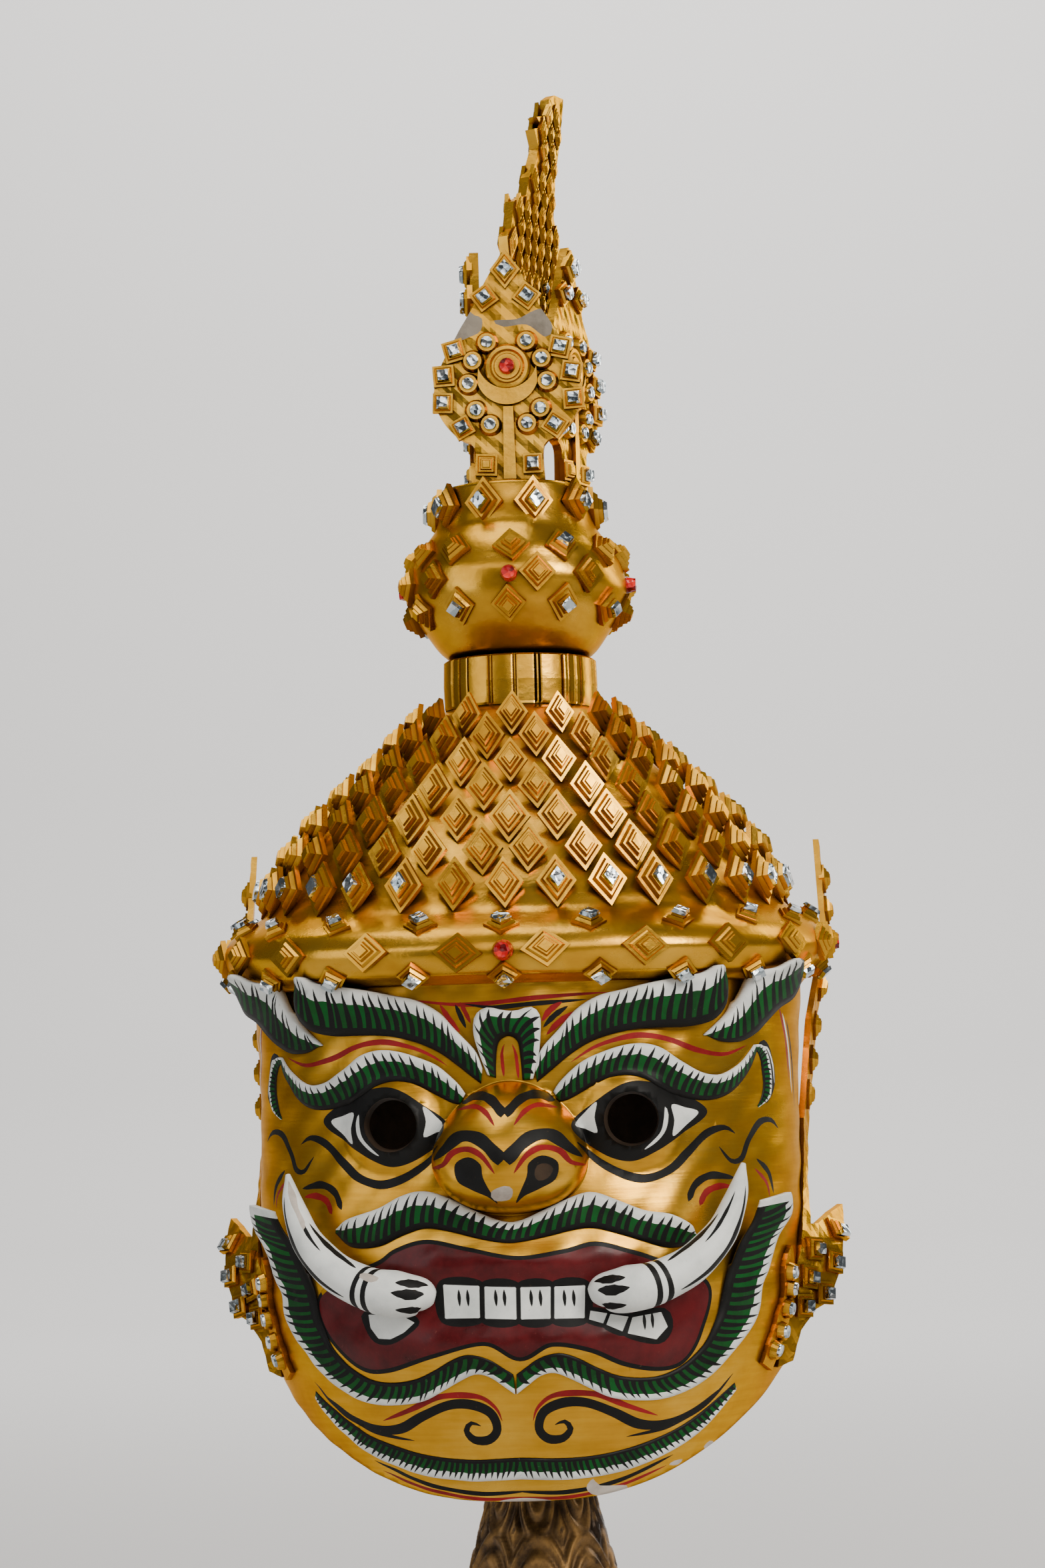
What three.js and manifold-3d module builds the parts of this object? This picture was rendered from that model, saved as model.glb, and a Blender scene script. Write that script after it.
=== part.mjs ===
// A dance giant's head mask with a tiered gilt crown, set on its carved stand.
// Millimetres, +Z up. The face looks along -Y, and the origin is the middle of the stand's underside.
// Heights on the mask are measured from its own zero, a little below the chin's rim.
import * as THREE from "three";
import { mergeVertices } from "three/addons/utils/BufferGeometryUtils.js";
import Module from "manifold-3d";

const wasm = await Module();
wasm.setup();

// Driving dimensions
const MASK_ZERO = 135;
const WALL = 5;
const GAP = 0.4;
const SECTION_POWER = 2.3;
const CHIN_RIM = 17;
const RIM_RISE = 54;
const BROW_LINE = 222;
const CAP_TOP = 343;
const CEILING = 335;

// Horizontal sections of the head, brim and cap: height, half width, front depth, back depth
const HEAD_LEVELS = [
  [CHIN_RIM, 84, 99, 92],
  [35, 95, 108, 102],
  [50, 102, 113, 108],
  [80, 110.5, 118, 114],
  [124, 114.5, 119, 117],
  [168, 114.5, 115, 118],
  [BROW_LINE, 117, 115, 118],
  [229, 124, 123, 123],
  [240, 130, 131, 129],
  [248, 124, 125, 123],
  [253, 116, 116, 115],
  [259, 111, 111, 111],
  [275, 100, 100, 100],
  [292, 86, 86, 86],
  [309, 67, 67, 67],
  [326, 50, 50, 50],
  [338, 38, 38, 38],
  [CAP_TOP, 33, 33, 33],
];
const FACE_ROWS = 17;
const FRONT_STEPS = 26;
const BACK_STEPS = 9;
const COLUMN_CROWDING = 0.28;
const INNER_LEVELS = [CEILING, 309, 275, BROW_LINE, 100];

// Face: an eye, a nose and the bulge of the mouth
const EYE = { x: 48, z: 167, bulge: 7, spread: 20, hole: 10.8 };
const DRILL_REACH = [-160, -60];
const DRILL_SIDES = 14;
const NOSE = { z: 157, halfWidth: 31, halfHeight: 26, rise: 33 };
const MOUTH = { z: 98, halfWidth: 78, halfHeight: 43, rise: 9 };

// Raised bands of the face: sideways, height, half width, lift of the band off the face
const UPPER_BROW = [
  [12.5, 186.5, 3.6, 0],
  [23, 197.5, 4.5, 0],
  [35, 206.5, 6.5, 0],
  [49, 211, 8.5, 0],
  [64, 213, 9.5, 1],
  [77, 218.5, 8.4, 4],
  [87, 228, 1.5, 10],
];
const OUTER_BROW = [
  [78.5, 200, 1.5, 0],
  [90.5, 202, 5.8, 1],
  [100.5, 211, 8, 4],
  [110, 221, 7.5, 8],
  [117, 230, 1.5, 14],
];
const EYEBROW = [
  [20.5, 176, 4, 0],
  [29, 183, 5.5, 0],
  [40, 188.5, 5.8, 0],
  [51, 190.5, 6, 0],
  [62.5, 188, 6.2, 0],
  [73, 182.5, 6.2, 0],
  [84, 180, 5.7, 0],
  [93, 186.5, 3.5, 0],
  [99.5, 196.5, 1.5, 0],
];
const MOUSTACHE = [
  [-1, 126, 5, 0],
  [11, 128, 5.4, 0],
  [24, 131, 6.5, 0],
  [36.5, 130, 6.8, 0],
  [48.5, 125, 6.6, 0],
  [61, 121.5, 6, 0],
  [72, 120.5, 1.5, 0],
];
const LIP_WING = [
  [-1, 61.5, 4.5, 0],
  [4, 66.5, 4.2, 0],
  [12.5, 72.5, 3.5, 0],
  [25, 71, 4, 0],
  [36.5, 65, 5, 0],
  [49, 61.5, 4.8, 0],
  [61.5, 62.5, 4.9, 0],
  [72.5, 69, 5.3, 0],
  [80.5, 79, 6.5, 0],
  [86.5, 90, 8, 0],
  [91, 102.5, 8.3, 1],
  [97, 116, 7, 5],
  [110, 137, 1.5, 13],
];
const FOREHEAD_LOOP = [
  [-1, 206.5, 4.9, 0],
  [7, 204.5, 5.5, 0],
  [9.5, 196, 5, 0],
  [8.5, 186, 4, 0],
];
const BANDS = [
  { path: UPPER_BROW, rise: 6, steps: 7 },
  { path: OUTER_BROW, rise: 5, steps: 5 },
  { path: EYEBROW, rise: 3, steps: 7 },
  { path: MOUSTACHE, rise: 4, steps: 6 },
  { path: LIP_WING, rise: 4, steps: 11 },
  { path: FOREHEAD_LOOP, rise: 4, steps: 4 },
];
const BAND_SINK = 4;

// Pointed tiles of brim and cap: ring height, tiles, points from tile to tile, turn in tiles, rise
const CROWN_RINGS = [
  [231, 22, 4, 0, 3],
  [240, 22, 4, 0.5, 3],
  [249, 22, 4, 0, 3],
  [254, 28, 2, 0, 0],
  [258, 28, 2, 0, 0],
  [267, 28, 2, 0.5, 8],
  [281, 28, 2, 0, 8],
  [294, 28, 2, 0.5, 8],
  [306, 22, 2, 0, 8],
  [317, 22, 2, 0.5, 8],
  [328, 16, 2, 0, 7],
  [338, 16, 2, 0.5, 5],
  [CAP_TOP, 16, 2, 0, 0],
];
const TIP_SHARE = 0.35;
// The crown leans forward: its front is lower than its back, by this share, between these heights
const CROWN_NOD = { share: 0.042, from: BROW_LINE, full: 231, fade: 290, end: 338 };

// Crown finial: fluted collar, bulb and lotus cup, as height and radius from the chin's rim
const COLLAR = { radius: 33, top: 365, flutes: 24, depth: 1.6 };
const BULB_PROFILE = [
  [366, 29],
  [375, 38],
  [386, 45],
  [397, 47.5],
  [407, 45],
  [416, 38.5],
  [422, 35],
  [431, 32.5],
  [440, 30],
];
const BULB_RINGS = [
  [366, 12, 2, 0, 0],
  [376, 12, 2, 0, 0],
  [386, 12, 4, 0, 3],
  [397, 12, 4, 0.5, 3],
  [408, 12, 4, 0, 3],
  [417, 12, 2, 0, 0],
  [422, 10, 2, 0, 0],
  [440, 10, 2, 0, 0],
];
const CUP_TILES = 10;
const CUP_TILE = { halfWidth: 8.5, halfHeight: 10.5, low: 3, high: 5, sink: 1.5 };
const CUP_TILE_HEIGHT = 430.5;

// Leather plaques that stand in the cup: outline as height and half width, from the stem to the tip
const PLAQUE_SIDE = [
  [0, 15],
  [15, 15],
  [19, 21.5],
  [27, 28.5],
  [36, 32],
  [47, 30.5],
  [60, 24],
  [68, 19.5],
  [76, 14.5],
  [88, 8.5],
  [101, 0],
];
const PLAQUE = { foot: 440 + GAP, thickness: 4, offset: 25 };
const SIDE_PLAQUE = { wide: 0.8, tall: 1.07 };
const RIGHT_PLAQUE = { offset: 26, back: 5, turn: -0.4 };
const LEFT_PLAQUE = { offset: 18, back: 7, turn: -0.09 };
const PLAQUE_RIB = { halfWidth: 2.8, low: 1, high: 38, rise: 2 };
const PLAQUE_BOSS = { height: 49.4, radius: 9.5, top: 8, rise: 2.5, sides: 12 };
const ROUND_MIRRORS = { height: 42.5, halfWidth: 17, halfHeight: 20.5, angles: [-62, -35, 0, 29, 60] };
const ROUND_MIRROR = { radius: 3, thickness: 1.6, sides: 8 };
const LOZENGES = [
  [22.8, 57.2, 0.3],
  [27.6, 46.4, 0],
  [28.2, 34.6, 0],
  [20, 23.6, -0.6],
  [9.2, 80.1, 0.1],
  [10, 7, 0],
];
const TIP_LOZENGE_HEIGHT = 92;
const LOZENGE_SEAT = { radius: 5.8, top: 4.6, rise: 2.5, sides: 4 };
const LOZENGE_MIRROR = { radius: 3.4, thickness: 1.6, sides: 4 };
const SEAT_SINK = 1;

// Flame blade at the back of the crown: height above the cup, front edge and back edge
const BLADE_EDGES = [
  [0, -10, 12],
  [21, -10, 13],
  [28, -15, 24],
  [46, -17, 34],
  [66, -12, 41],
  [84, -8, 44.5],
  [114, -2, 41],
  [130, 3, 37.5],
  [134, 13, 38],
  [158, 24, 43],
  [166, 22, 45],
  [173, 31, 47],
  [186, 37, 49],
];
const BLADE = { thickness: 5, turn: -0.45 };

// Red glass stones: radius, height on the mask, how far it stands out and reaches in
const STONE_SIDES = 8;
const STONES_ROUND = 4;
const BRIM_STONE = { radius: 4.3, height: 240, front: 4, back: 1 };
const BULB_STONE = { radius: 3.9, height: 397, front: 4, back: 1 };
const PLAQUE_STONE = { radius: 4.2, thickness: 2.4, sides: 10 };

// Tusks: sideways, height, distance in front of the axis, radius
const TUSK = [
  [31, 97, 126, 3],
  [36, 100, 127, 7],
  [46, 101, 128, 9.2],
  [59, 104, 124, 8.4],
  [72, 111, 118, 7.6],
  [83, 123, 111, 6.2],
  [89, 137, 104, 4.2],
  [91.5, 148, 99, 1.2],
];
const TUSK_SIDES = 8;
const TUSK_STEPS = 10;

// Ear ornament: outline as distance back from the line where it is sewn on, and height
const EAR_OUTLINE = [
  [-6, 64],
  [6, 66],
  [9, 78],
  [17, 86],
  [26, 89],
  [30, 102],
  [31, 115],
  [36, 128],
  [23, 125],
  [13, 121],
  [5, 121],
  [5, 140],
  [9, 158],
  [20, 172],
  [30, 194],
  [35, 222],
  [33, 250],
  [26, 288],
  [21, 262],
  [17, 240],
  [9, 220],
  [2, 195],
  [-4, 165],
  [-3, 125],
];
const EAR_SEAM = [
  [64, 104.5, -46],
  [113, 115, -33],
  [165, 116.4, 10],
  [207, 119, 20],
  [245, 125, 26],
  [288, 122.2, 30],
];
const EAR = { thickness: 3, flareLow: 0.75, flareHigh: 0.1, flareFrom: 90, flareTo: 180 };
const EAR_TILES = [
  [25, 118],
  [24, 105],
  [20.5, 92.5],
  [8, 109],
  [8.5, 98],
  [8.5, 86.5],
];
const EAR_TILE = { half: 6, top: 4, rise: 3 };

// Stand: height above the ground, radius and sides, with carved strands between two heights
const STAND_PROFILE = [
  [0, 78, 24],
  [6, 80, 24],
  [12, 78, 24],
  [17, 66, 32],
  [26, 60, 32],
  [45, 50, 32],
  [70, 41, 32],
  [95, 35.5, 32],
  [113, 32, 32],
  [130, 27, 32],
  [144, 23.5, 32],
  [158, 19, 16],
  [416, 19, 16],
  [442, 60.2, 16],
  [444, 60.2, 16],
  [459, 45.2, 16],
];
const STRANDS = { count: 8, depth: 1.8, from: 16, to: 145 };

// Finishes
const GILT = { color: 0xc8922e, roughness: 0.38, metalness: 0.75 };
const IVORY = { color: 0xe4e0d4, roughness: 0.45, metalness: 0 };
const RED_GLASS = { color: 0xc0141a, roughness: 0.12, metalness: 0 };
const MIRROR_GLASS = { color: 0xcfd6dc, roughness: 0.05, metalness: 0.9 };
const BRONZE = { color: 0x2c2318, roughness: 0.5, metalness: 0.6 };

// Solid and mesh helpers

function solidOf(geometry) {
  const bare = new THREE.BufferGeometry();
  bare.setAttribute("position", geometry.getAttribute("position").clone());
  if (geometry.index) bare.setIndex(geometry.index.clone());
  const merged = mergeVertices(bare, 1e-4);
  const vertProperties = new Float32Array(merged.attributes.position.array);
  const triVerts = new Uint32Array(merged.index.array);
  return new wasm.Manifold(new wasm.Mesh({ numProp: 3, vertProperties, triVerts }));
}

function meshOf(name, solid, finish) {
  const { vertProperties, triVerts } = solid.getMesh();
  const geometry = new THREE.BufferGeometry();
  geometry.setAttribute("position", new THREE.BufferAttribute(vertProperties, 3));
  geometry.setIndex(new THREE.BufferAttribute(triVerts, 1));
  geometry.computeVertexNormals();
  const mesh = new THREE.Mesh(geometry, new THREE.MeshStandardMaterial(finish));
  mesh.name = name;
  return mesh;
}

// A closed skin over rings that have the same number of points, with a flat fan over each end.
function loft(rings) {
  const count = rings[0].length;
  const points = rings.flat();
  const faces = [];
  for (let i = 0; i + 1 < rings.length; i++) {
    for (let k = 0; k < count; k++) {
      const a = i * count + k;
      const b = i * count + ((k + 1) % count);
      faces.push(a, b, b + count, a, b + count, a + count);
    }
  }
  const last = (rings.length - 1) * count;
  for (let k = 1; k + 1 < count; k++) {
    faces.push(0, k + 1, k, last, last + k, last + k + 1);
  }
  return solidOf(facingOut(points, faces));
}

// A ring of points round the axis, from the front; raised(k) marks those that stand out or in.
function ringOf(angles, place, raised = () => false) {
  return {
    angles,
    points: angles.map((angle, k) => place(angle, raised(k))),
    raised: angles.map((_, k) => raised(k)),
  };
}

function evenAngles(count) {
  return Array.from({ length: count }, (_, k) => (2 * Math.PI * k) / count);
}

// Triangles between two rings that may have different numbers of points.
function zip(low, high, lowStart, highStart) {
  const [n, m] = [low.angles.length, high.angles.length];
  const next = (ring, i, count) => (i + 1 < count ? ring.angles[i + 1] : 2 * Math.PI);
  const faces = [];
  let i = 0;
  let j = 0;
  while (i < n || j < m) {
    const lowNext = i < n ? next(low, i, n) : Infinity;
    const highNext = j < m ? next(high, j, m) : Infinity;
    const flat = !low.raised[(i + 1) % n] && !high.raised[j % m];
    const even = Math.abs(lowNext - highNext) < 1e-6;
    const [a, b] = [lowStart + (i % n), highStart + (j % m)];
    if (even ? flat : lowNext < highNext) {
      i += 1;
      faces.push(a, lowStart + (i % n), b);
    } else {
      j += 1;
      faces.push(a, highStart + (j % m), b);
    }
  }
  return faces;
}

// A closed skin over rings with different numbers of points, with a flat fan over each end.
function skin(rings) {
  const starts = [0];
  rings.forEach((ring) => starts.push(starts.at(-1) + ring.points.length));
  const faces = rings.slice(1).flatMap((ring, i) => zip(rings[i], ring, starts[i], starts[i + 1]));
  const last = starts.at(-2);
  for (let k = 1; k + 1 < rings[0].points.length; k++) faces.push(0, k + 1, k);
  for (let k = 1; k + 1 < rings.at(-1).points.length; k++) faces.push(last, last + k, last + k + 1);
  return solidOf(facingOut(rings.flatMap((ring) => ring.points), faces));
}

// A ring whose tiles are points that stand out, staggered from ring to ring by their turn.
function tiledRing([z, tiles, spacing, turn, rise], place) {
  const raised = (k) => rise > 0 && (k - turn * spacing) % spacing === 0;
  return ringOf(
    evenAngles(tiles * spacing),
    (angle, up) => place(angle, z + (up ? TIP_SHARE * rise : 0), up ? rise : 0),
    raised,
  );
}

function facingOut(points, faces) {
  let volume = 0;
  for (let i = 0; i < faces.length; i += 3) {
    const [a, b, c] = [points[faces[i]], points[faces[i + 1]], points[faces[i + 2]]];
    volume += a.dot(new THREE.Vector3().crossVectors(b, c));
  }
  if (volume < 0) faces.reverse();
  const geometry = new THREE.BufferGeometry().setFromPoints(points);
  geometry.setIndex(faces);
  return geometry;
}

function around(radius, angle, z) {
  return new THREE.Vector3(radius * Math.sin(angle), -radius * Math.cos(angle), z);
}

// The main body alone, without slivers left between joined pieces.
function largest(solid) {
  return solid.decompose().reduce((a, b) => (a.volume() > b.volume() ? a : b));
}

function mirrored(solid) {
  return solid.mirror([1, 0, 0]);
}

// Head surface

function levelAt(z, column) {
  const last = HEAD_LEVELS.length - 1;
  let i = 0;
  while (i < last - 1 && HEAD_LEVELS[i + 1][0] < z) i++;
  const [low, high] = [HEAD_LEVELS[i], HEAD_LEVELS[i + 1]];
  const share = THREE.MathUtils.clamp((z - low[0]) / (high[0] - low[0]), 0, 1);
  return low[column] + share * (high[column] - low[column]);
}

// Distance from the axis at an angle from the front, on a rounded section.
function headRadius(angle, z) {
  const across = Math.abs(Math.sin(angle)) / levelAt(z, 1);
  const depth = levelAt(z, Math.cos(angle) > 0 ? 2 : 3);
  const along = Math.abs(Math.cos(angle)) / depth;
  return (across ** SECTION_POWER + along ** SECTION_POWER) ** (-1 / SECTION_POWER);
}

function faceRelief(x, z) {
  const mouth = Math.hypot(x / MOUTH.halfWidth, (z - MOUTH.z) / MOUTH.halfHeight);
  const nose = Math.hypot(x / NOSE.halfWidth, (z - NOSE.z) / NOSE.halfHeight);
  const eye = Math.hypot(Math.abs(x) - EYE.x, z - EYE.z) / EYE.spread;
  const noseRise = NOSE.rise * Math.max(0, 1 - nose * nose) ** 0.6;
  const eyeRise = EYE.bulge * Math.max(0, 1 - eye * eye);
  return MOUTH.rise * Math.exp(-(mouth ** 2)) + Math.max(noseRise, eyeRise);
}

function headPoint(angle, z, lift = 0) {
  const base = headRadius(angle, z);
  const relief = Math.cos(angle) > 0 ? faceRelief(base * Math.sin(angle), z) : 0;
  return around(base + relief + lift, angle, z);
}

// Outward normal, level tangent and rising tangent of the head at an angle and height.
function headAxes(angle, z) {
  const step = 0.01;
  const across = headPoint(angle + step, z).sub(headPoint(angle - step, z)).normalize();
  const rising = headPoint(angle, z + 1).sub(headPoint(angle, z - 1)).normalize();
  const normal = new THREE.Vector3().crossVectors(across, rising).normalize();
  return { across, rising: new THREE.Vector3().crossVectors(normal, across), normal };
}

function angleAt(x, z) {
  let low = -Math.PI / 2;
  let high = Math.PI / 2;
  for (let i = 0; i < 40; i++) {
    const middle = (low + high) / 2;
    if (headRadius(middle, z) * Math.sin(middle) < x) low = middle;
    else high = middle;
  }
  return (low + high) / 2;
}

function rimHeight(angle) {
  return CHIN_RIM + (Math.cos(angle) > 0 ? RIM_RISE * Math.abs(Math.sin(angle)) ** 3 : RIM_RISE);
}

// Columns lie closer together at the middle of the face.
function columnAngles() {
  const front = Array.from({ length: FRONT_STEPS }, (_, k) => {
    const share = (2 * k) / FRONT_STEPS - 1;
    return (Math.PI / 2) * share * (1 - COLUMN_CROWDING + COLUMN_CROWDING * Math.abs(share));
  });
  const back = Array.from(
    { length: BACK_STEPS },
    (_, k) => Math.PI / 2 + (Math.PI * k) / BACK_STEPS,
  );
  const whole = 2 * Math.PI;
  return [...front, ...back].map((angle) => (angle + whole) % whole).sort((a, b) => a - b);
}

function nod(point, z) {
  const { share, from, full, fade, end } = CROWN_NOD;
  const ramp = THREE.MathUtils.clamp(Math.min((z - from) / (full - from), (end - z) / (end - fade)), 0, 1);
  return share * ramp * point.y;
}

function crownPoint(angle, z, lift) {
  const point = headPoint(angle, z, lift);
  return point.setZ(point.z + nod(point, z));
}

function headShell() {
  const angles = columnAngles();
  const inside = (angle, z) => around(headRadius(angle, z) - WALL, angle, z);
  const inner = INNER_LEVELS.map((z) => ringOf(angles, (angle) => inside(angle, z)));
  const innerRim = ringOf(angles, (angle) => inside(angle, rimHeight(angle)));
  const face = Array.from({ length: FACE_ROWS + 1 }, (_, row) =>
    ringOf(angles, (angle) => {
      const low = rimHeight(angle);
      return headPoint(angle, low + ((BROW_LINE - low) * row) / FACE_ROWS);
    }),
  );
  const crown = CROWN_RINGS.map((row) => tiledRing(row, crownPoint));
  return skin([...inner, innerRim, ...face, ...crown]);
}

// A raised band that follows a path on the face, with its foot sunk in the wall.
function faceBand({ path, rise, steps }) {
  const line = new THREE.CatmullRomCurve3(path.map(([x, z, w]) => new THREE.Vector3(x, z, w)));
  const lifts = new THREE.CatmullRomCurve3(path.map(([, , , lift]) => new THREE.Vector3(lift, 0, 0)));
  const stations = Array.from({ length: steps + 1 }, (_, i) => {
    const at = line.getPoint(i / steps);
    const lift = Math.max(0, lifts.getPoint(i / steps).x);
    const angle = angleAt(at.x, at.y);
    return { angle, z: at.y, halfWidth: at.z, lift, point: headPoint(angle, at.y, lift) };
  });
  const rings = stations.map((station, i) => {
    const before = stations[Math.max(0, i - 1)].point;
    const after = stations[Math.min(steps, i + 1)].point;
    const along = after.clone().sub(before).normalize();
    const { normal } = headAxes(station.angle, station.z);
    const side = new THREE.Vector3().crossVectors(normal, along).normalize();
    const sink = -BAND_SINK + Math.min(BAND_SINK, station.lift);
    const section = [
      [-1, sink],
      [1, sink],
      [0.75, rise],
      [-0.75, rise],
    ];
    return section.map(([across, out]) =>
      station.point
        .clone()
        .addScaledVector(side, across * station.halfWidth)
        .addScaledVector(normal, out),
    );
  });
  return loft(rings);
}

function drill(x, z, radius) {
  const [front, back] = DRILL_REACH;
  const bit = new THREE.CylinderGeometry(radius, radius, back - front, DRILL_SIDES);
  bit.translate(x, (front + back) / 2, z);
  return solidOf(bit);
}

function maskShell() {
  const bands = BANDS.map(faceBand);
  const whole = wasm.Manifold.union([headShell(), ...bands, ...bands.map(mirrored)]);
  const holes = [EYE.x, -EYE.x].map((x) => drill(x, EYE.z, EYE.hole));
  return largest(whole.subtract(wasm.Manifold.union(holes)));
}

// Crown finial

function crownCollar() {
  const { radius, top, flutes, depth } = COLLAR;
  const place = (z) => (angle, grooved) => around(radius - (grooved ? depth : 0), angle, z);
  const ring = (z) => ringOf(evenAngles(2 * flutes), place(z), (k) => k % 2 === 1);
  return skin([ring(CAP_TOP + GAP), ring(top)]);
}

function bulbRadius(z) {
  const above = Math.max(1, BULB_PROFILE.findIndex(([height]) => height >= z));
  const [low, high] = [BULB_PROFILE[above - 1], BULB_PROFILE[above]];
  return THREE.MathUtils.mapLinear(z, low[0], high[0], low[1], high[1]);
}

// A four-sided upright tile whose face leans out towards the upper tip.
function cupTile(angle) {
  const { halfWidth, halfHeight, low, high, sink } = CUP_TILE;
  const middle = bulbRadius(CUP_TILE_HEIGHT);
  const across = new THREE.Vector3(Math.cos(angle), Math.sin(angle), 0);
  const corners = [
    [0, -1],
    [1, 0],
    [0, 1],
    [-1, 0],
  ];
  const ring = (scale, out) =>
    corners.map(([u, v]) =>
      around(middle + out(v), angle, CUP_TILE_HEIGHT + v * scale * halfHeight)
        .addScaledVector(across, u * scale * halfWidth),
    );
  return loft([ring(1, () => -sink), ring(0.55, (v) => low + (high - low) * (0.5 + 0.5 * v))]);
}

function crownBulb() {
  const place = (angle, z, lift) => around(bulbRadius(z) + lift, angle, z);
  const body = skin(BULB_RINGS.map((row) => tiledRing(row, place)));
  const step = (2 * Math.PI) / CUP_TILES;
  const tiles = Array.from({ length: CUP_TILES }, (_, k) => cupTile((k + 0.5) * step));
  return wasm.Manifold.union([body, ...tiles]);
}

// Plaques: drawn standing in the XZ plane, with the front of the leather at y = 0

function plate(outline, thickness) {
  const shape = new THREE.Shape(outline.map(([x, z]) => new THREE.Vector2(x, z)));
  const sheet = new THREE.ExtrudeGeometry(shape, { depth: thickness, bevelEnabled: false });
  sheet.rotateX(Math.PI / 2);
  sheet.translate(0, thickness, 0);
  return solidOf(sheet);
}

// A low block with sloping sides that stands on a face at y = level, out to y = level - rise.
function block({ radius, top = radius, rise, sides }, level, sink) {
  const shape = new THREE.CylinderGeometry(top, radius, rise + sink, sides);
  shape.rotateX(Math.PI);
  shape.translate(0, level + (sink - rise) / 2, 0);
  return solidOf(shape);
}

function placed(solid, [x, z, turn = 0]) {
  return solid.rotate([0, THREE.MathUtils.radToDeg(turn), 0]).translate([x, 0, z]);
}

function lozengePlaces() {
  const pairs = LOZENGES.flatMap(([x, z, turn]) => [
    [x, z, turn],
    [-x, z, -turn],
  ]);
  return [[0, TIP_LOZENGE_HEIGHT, 0], ...pairs];
}

function roundMirrorPlaces() {
  const { height, halfWidth, halfHeight, angles } = ROUND_MIRRORS;
  return angles.flatMap((degrees) => {
    const angle = THREE.MathUtils.degToRad(degrees);
    const [x, z] = [halfWidth * Math.cos(angle), height + halfHeight * Math.sin(angle)];
    return [
      [x, z],
      [-x, z],
    ];
  });
}

function plaque(seats) {
  const right = PLAQUE_SIDE.map(([z, x]) => [x, z]);
  const left = PLAQUE_SIDE.slice(0, -1).map(([z, x]) => [-x, z]);
  const sheet = plate([...right, ...left.reverse()], PLAQUE.thickness);
  const boss = block(PLAQUE_BOSS, 0, SEAT_SINK).translate([0, 0, PLAQUE_BOSS.height]);
  const { halfWidth, low, high, rise } = PLAQUE_RIB;
  const rib = solidOf(new THREE.BoxGeometry(2 * halfWidth, rise + SEAT_SINK, high - low)).translate([
    0,
    (SEAT_SINK - rise) / 2,
    (low + high) / 2,
  ]);
  return wasm.Manifold.union([sheet, boss, rib, ...seats]);
}

function sidePlaque({ offset, back, turn }) {
  return plaque([])
    .scale([SIDE_PLAQUE.wide, 1, SIDE_PLAQUE.tall])
    .rotate([0, 0, 90 + THREE.MathUtils.radToDeg(turn)])
    .translate([offset, back, PLAQUE.foot]);
}

function lozengeSeats() {
  const seat = block(LOZENGE_SEAT, 0, SEAT_SINK);
  return lozengePlaces().map((place) => placed(seat, place));
}

// A thin piece of glass that lies just clear of a face at y = -rise.
function glass({ radius, thickness, sides }, rise) {
  return block({ radius, rise: thickness, sides }, -rise - GAP, 0);
}

function flameBlade() {
  const front = BLADE_EDGES.map(([z, y]) => [y, z]);
  const back = BLADE_EDGES.map(([z, , y]) => [y, z]);
  const { thickness, turn } = BLADE;
  return plate([...back, ...front.reverse()], thickness)
    .translate([0, -thickness / 2, 0])
    .rotate([0, 0, 90 + THREE.MathUtils.radToDeg(turn)]);
}

// Pieces that bear on a neighbour: cut by it, then moved off by the gap
function fitted(solid, neighbour, away) {
  return largest(solid.subtract(neighbour)).translate(away.clone().multiplyScalar(GAP).toArray());
}

function stone({ radius, height, front, back }, surface, neighbour, angle) {
  const body = block({ radius, rise: front, sides: STONE_SIDES }, -surface, back)
    .rotate([0, 0, THREE.MathUtils.radToDeg(angle)])
    .translate([0, 0, height]);
  return fitted(body, neighbour, around(1, angle, 0));
}

function stand() {
  const { count, depth, from, to } = STRANDS;
  const carved = (angle, z) => (z > from && z < to ? depth * Math.cos(count * angle) : 0);
  return skin(
    STAND_PROFILE.map(([z, radius, sides]) =>
      ringOf(evenAngles(sides), (angle) => around(radius + carved(angle, z), angle, z)),
    ),
  );
}

function tusk() {
  const places = TUSK.map(([x, z, front]) => new THREE.Vector3(x, -front, z));
  const line = new THREE.CatmullRomCurve3(places);
  const radii = new THREE.CatmullRomCurve3(TUSK.map(([, , , r]) => new THREE.Vector3(r, 0, 0)));
  const rings = Array.from({ length: TUSK_STEPS + 1 }, (_, i) => {
    const share = i / TUSK_STEPS;
    const along = line.getTangent(share);
    const side = new THREE.Vector3(0, 1, 0).cross(along).normalize();
    const up = new THREE.Vector3().crossVectors(along, side);
    const radius = Math.max(0.8, radii.getPoint(share).x);
    return Array.from({ length: TUSK_SIDES }, (_, k) => {
      const angle = (2 * Math.PI * k) / TUSK_SIDES;
      return line
        .getPoint(share)
        .addScaledVector(side, radius * Math.cos(angle))
        .addScaledVector(up, radius * Math.sin(angle));
    });
  });
  return loft(rings);
}

// Ear ornament: a leather cut-out bent so that its lower fan flares out and its blade runs back

function earPoint(back, z, out) {
  const above = Math.max(1, EAR_SEAM.findIndex(([height]) => height >= z));
  const [low, high] = [EAR_SEAM[above - 1], EAR_SEAM[above]];
  const x = THREE.MathUtils.mapLinear(z, low[0], high[0], low[1], high[1]);
  const y = THREE.MathUtils.mapLinear(z, low[0], high[0], low[2], high[2]);
  const turned = THREE.MathUtils.smoothstep(z, EAR.flareFrom, EAR.flareTo);
  const flare = THREE.MathUtils.lerp(EAR.flareLow, EAR.flareHigh, turned);
  const along = new THREE.Vector2(Math.sin(flare), Math.cos(flare));
  return new THREE.Vector3(x + along.x * back + along.y * out, y + along.y * back - along.x * out, z);
}

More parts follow.
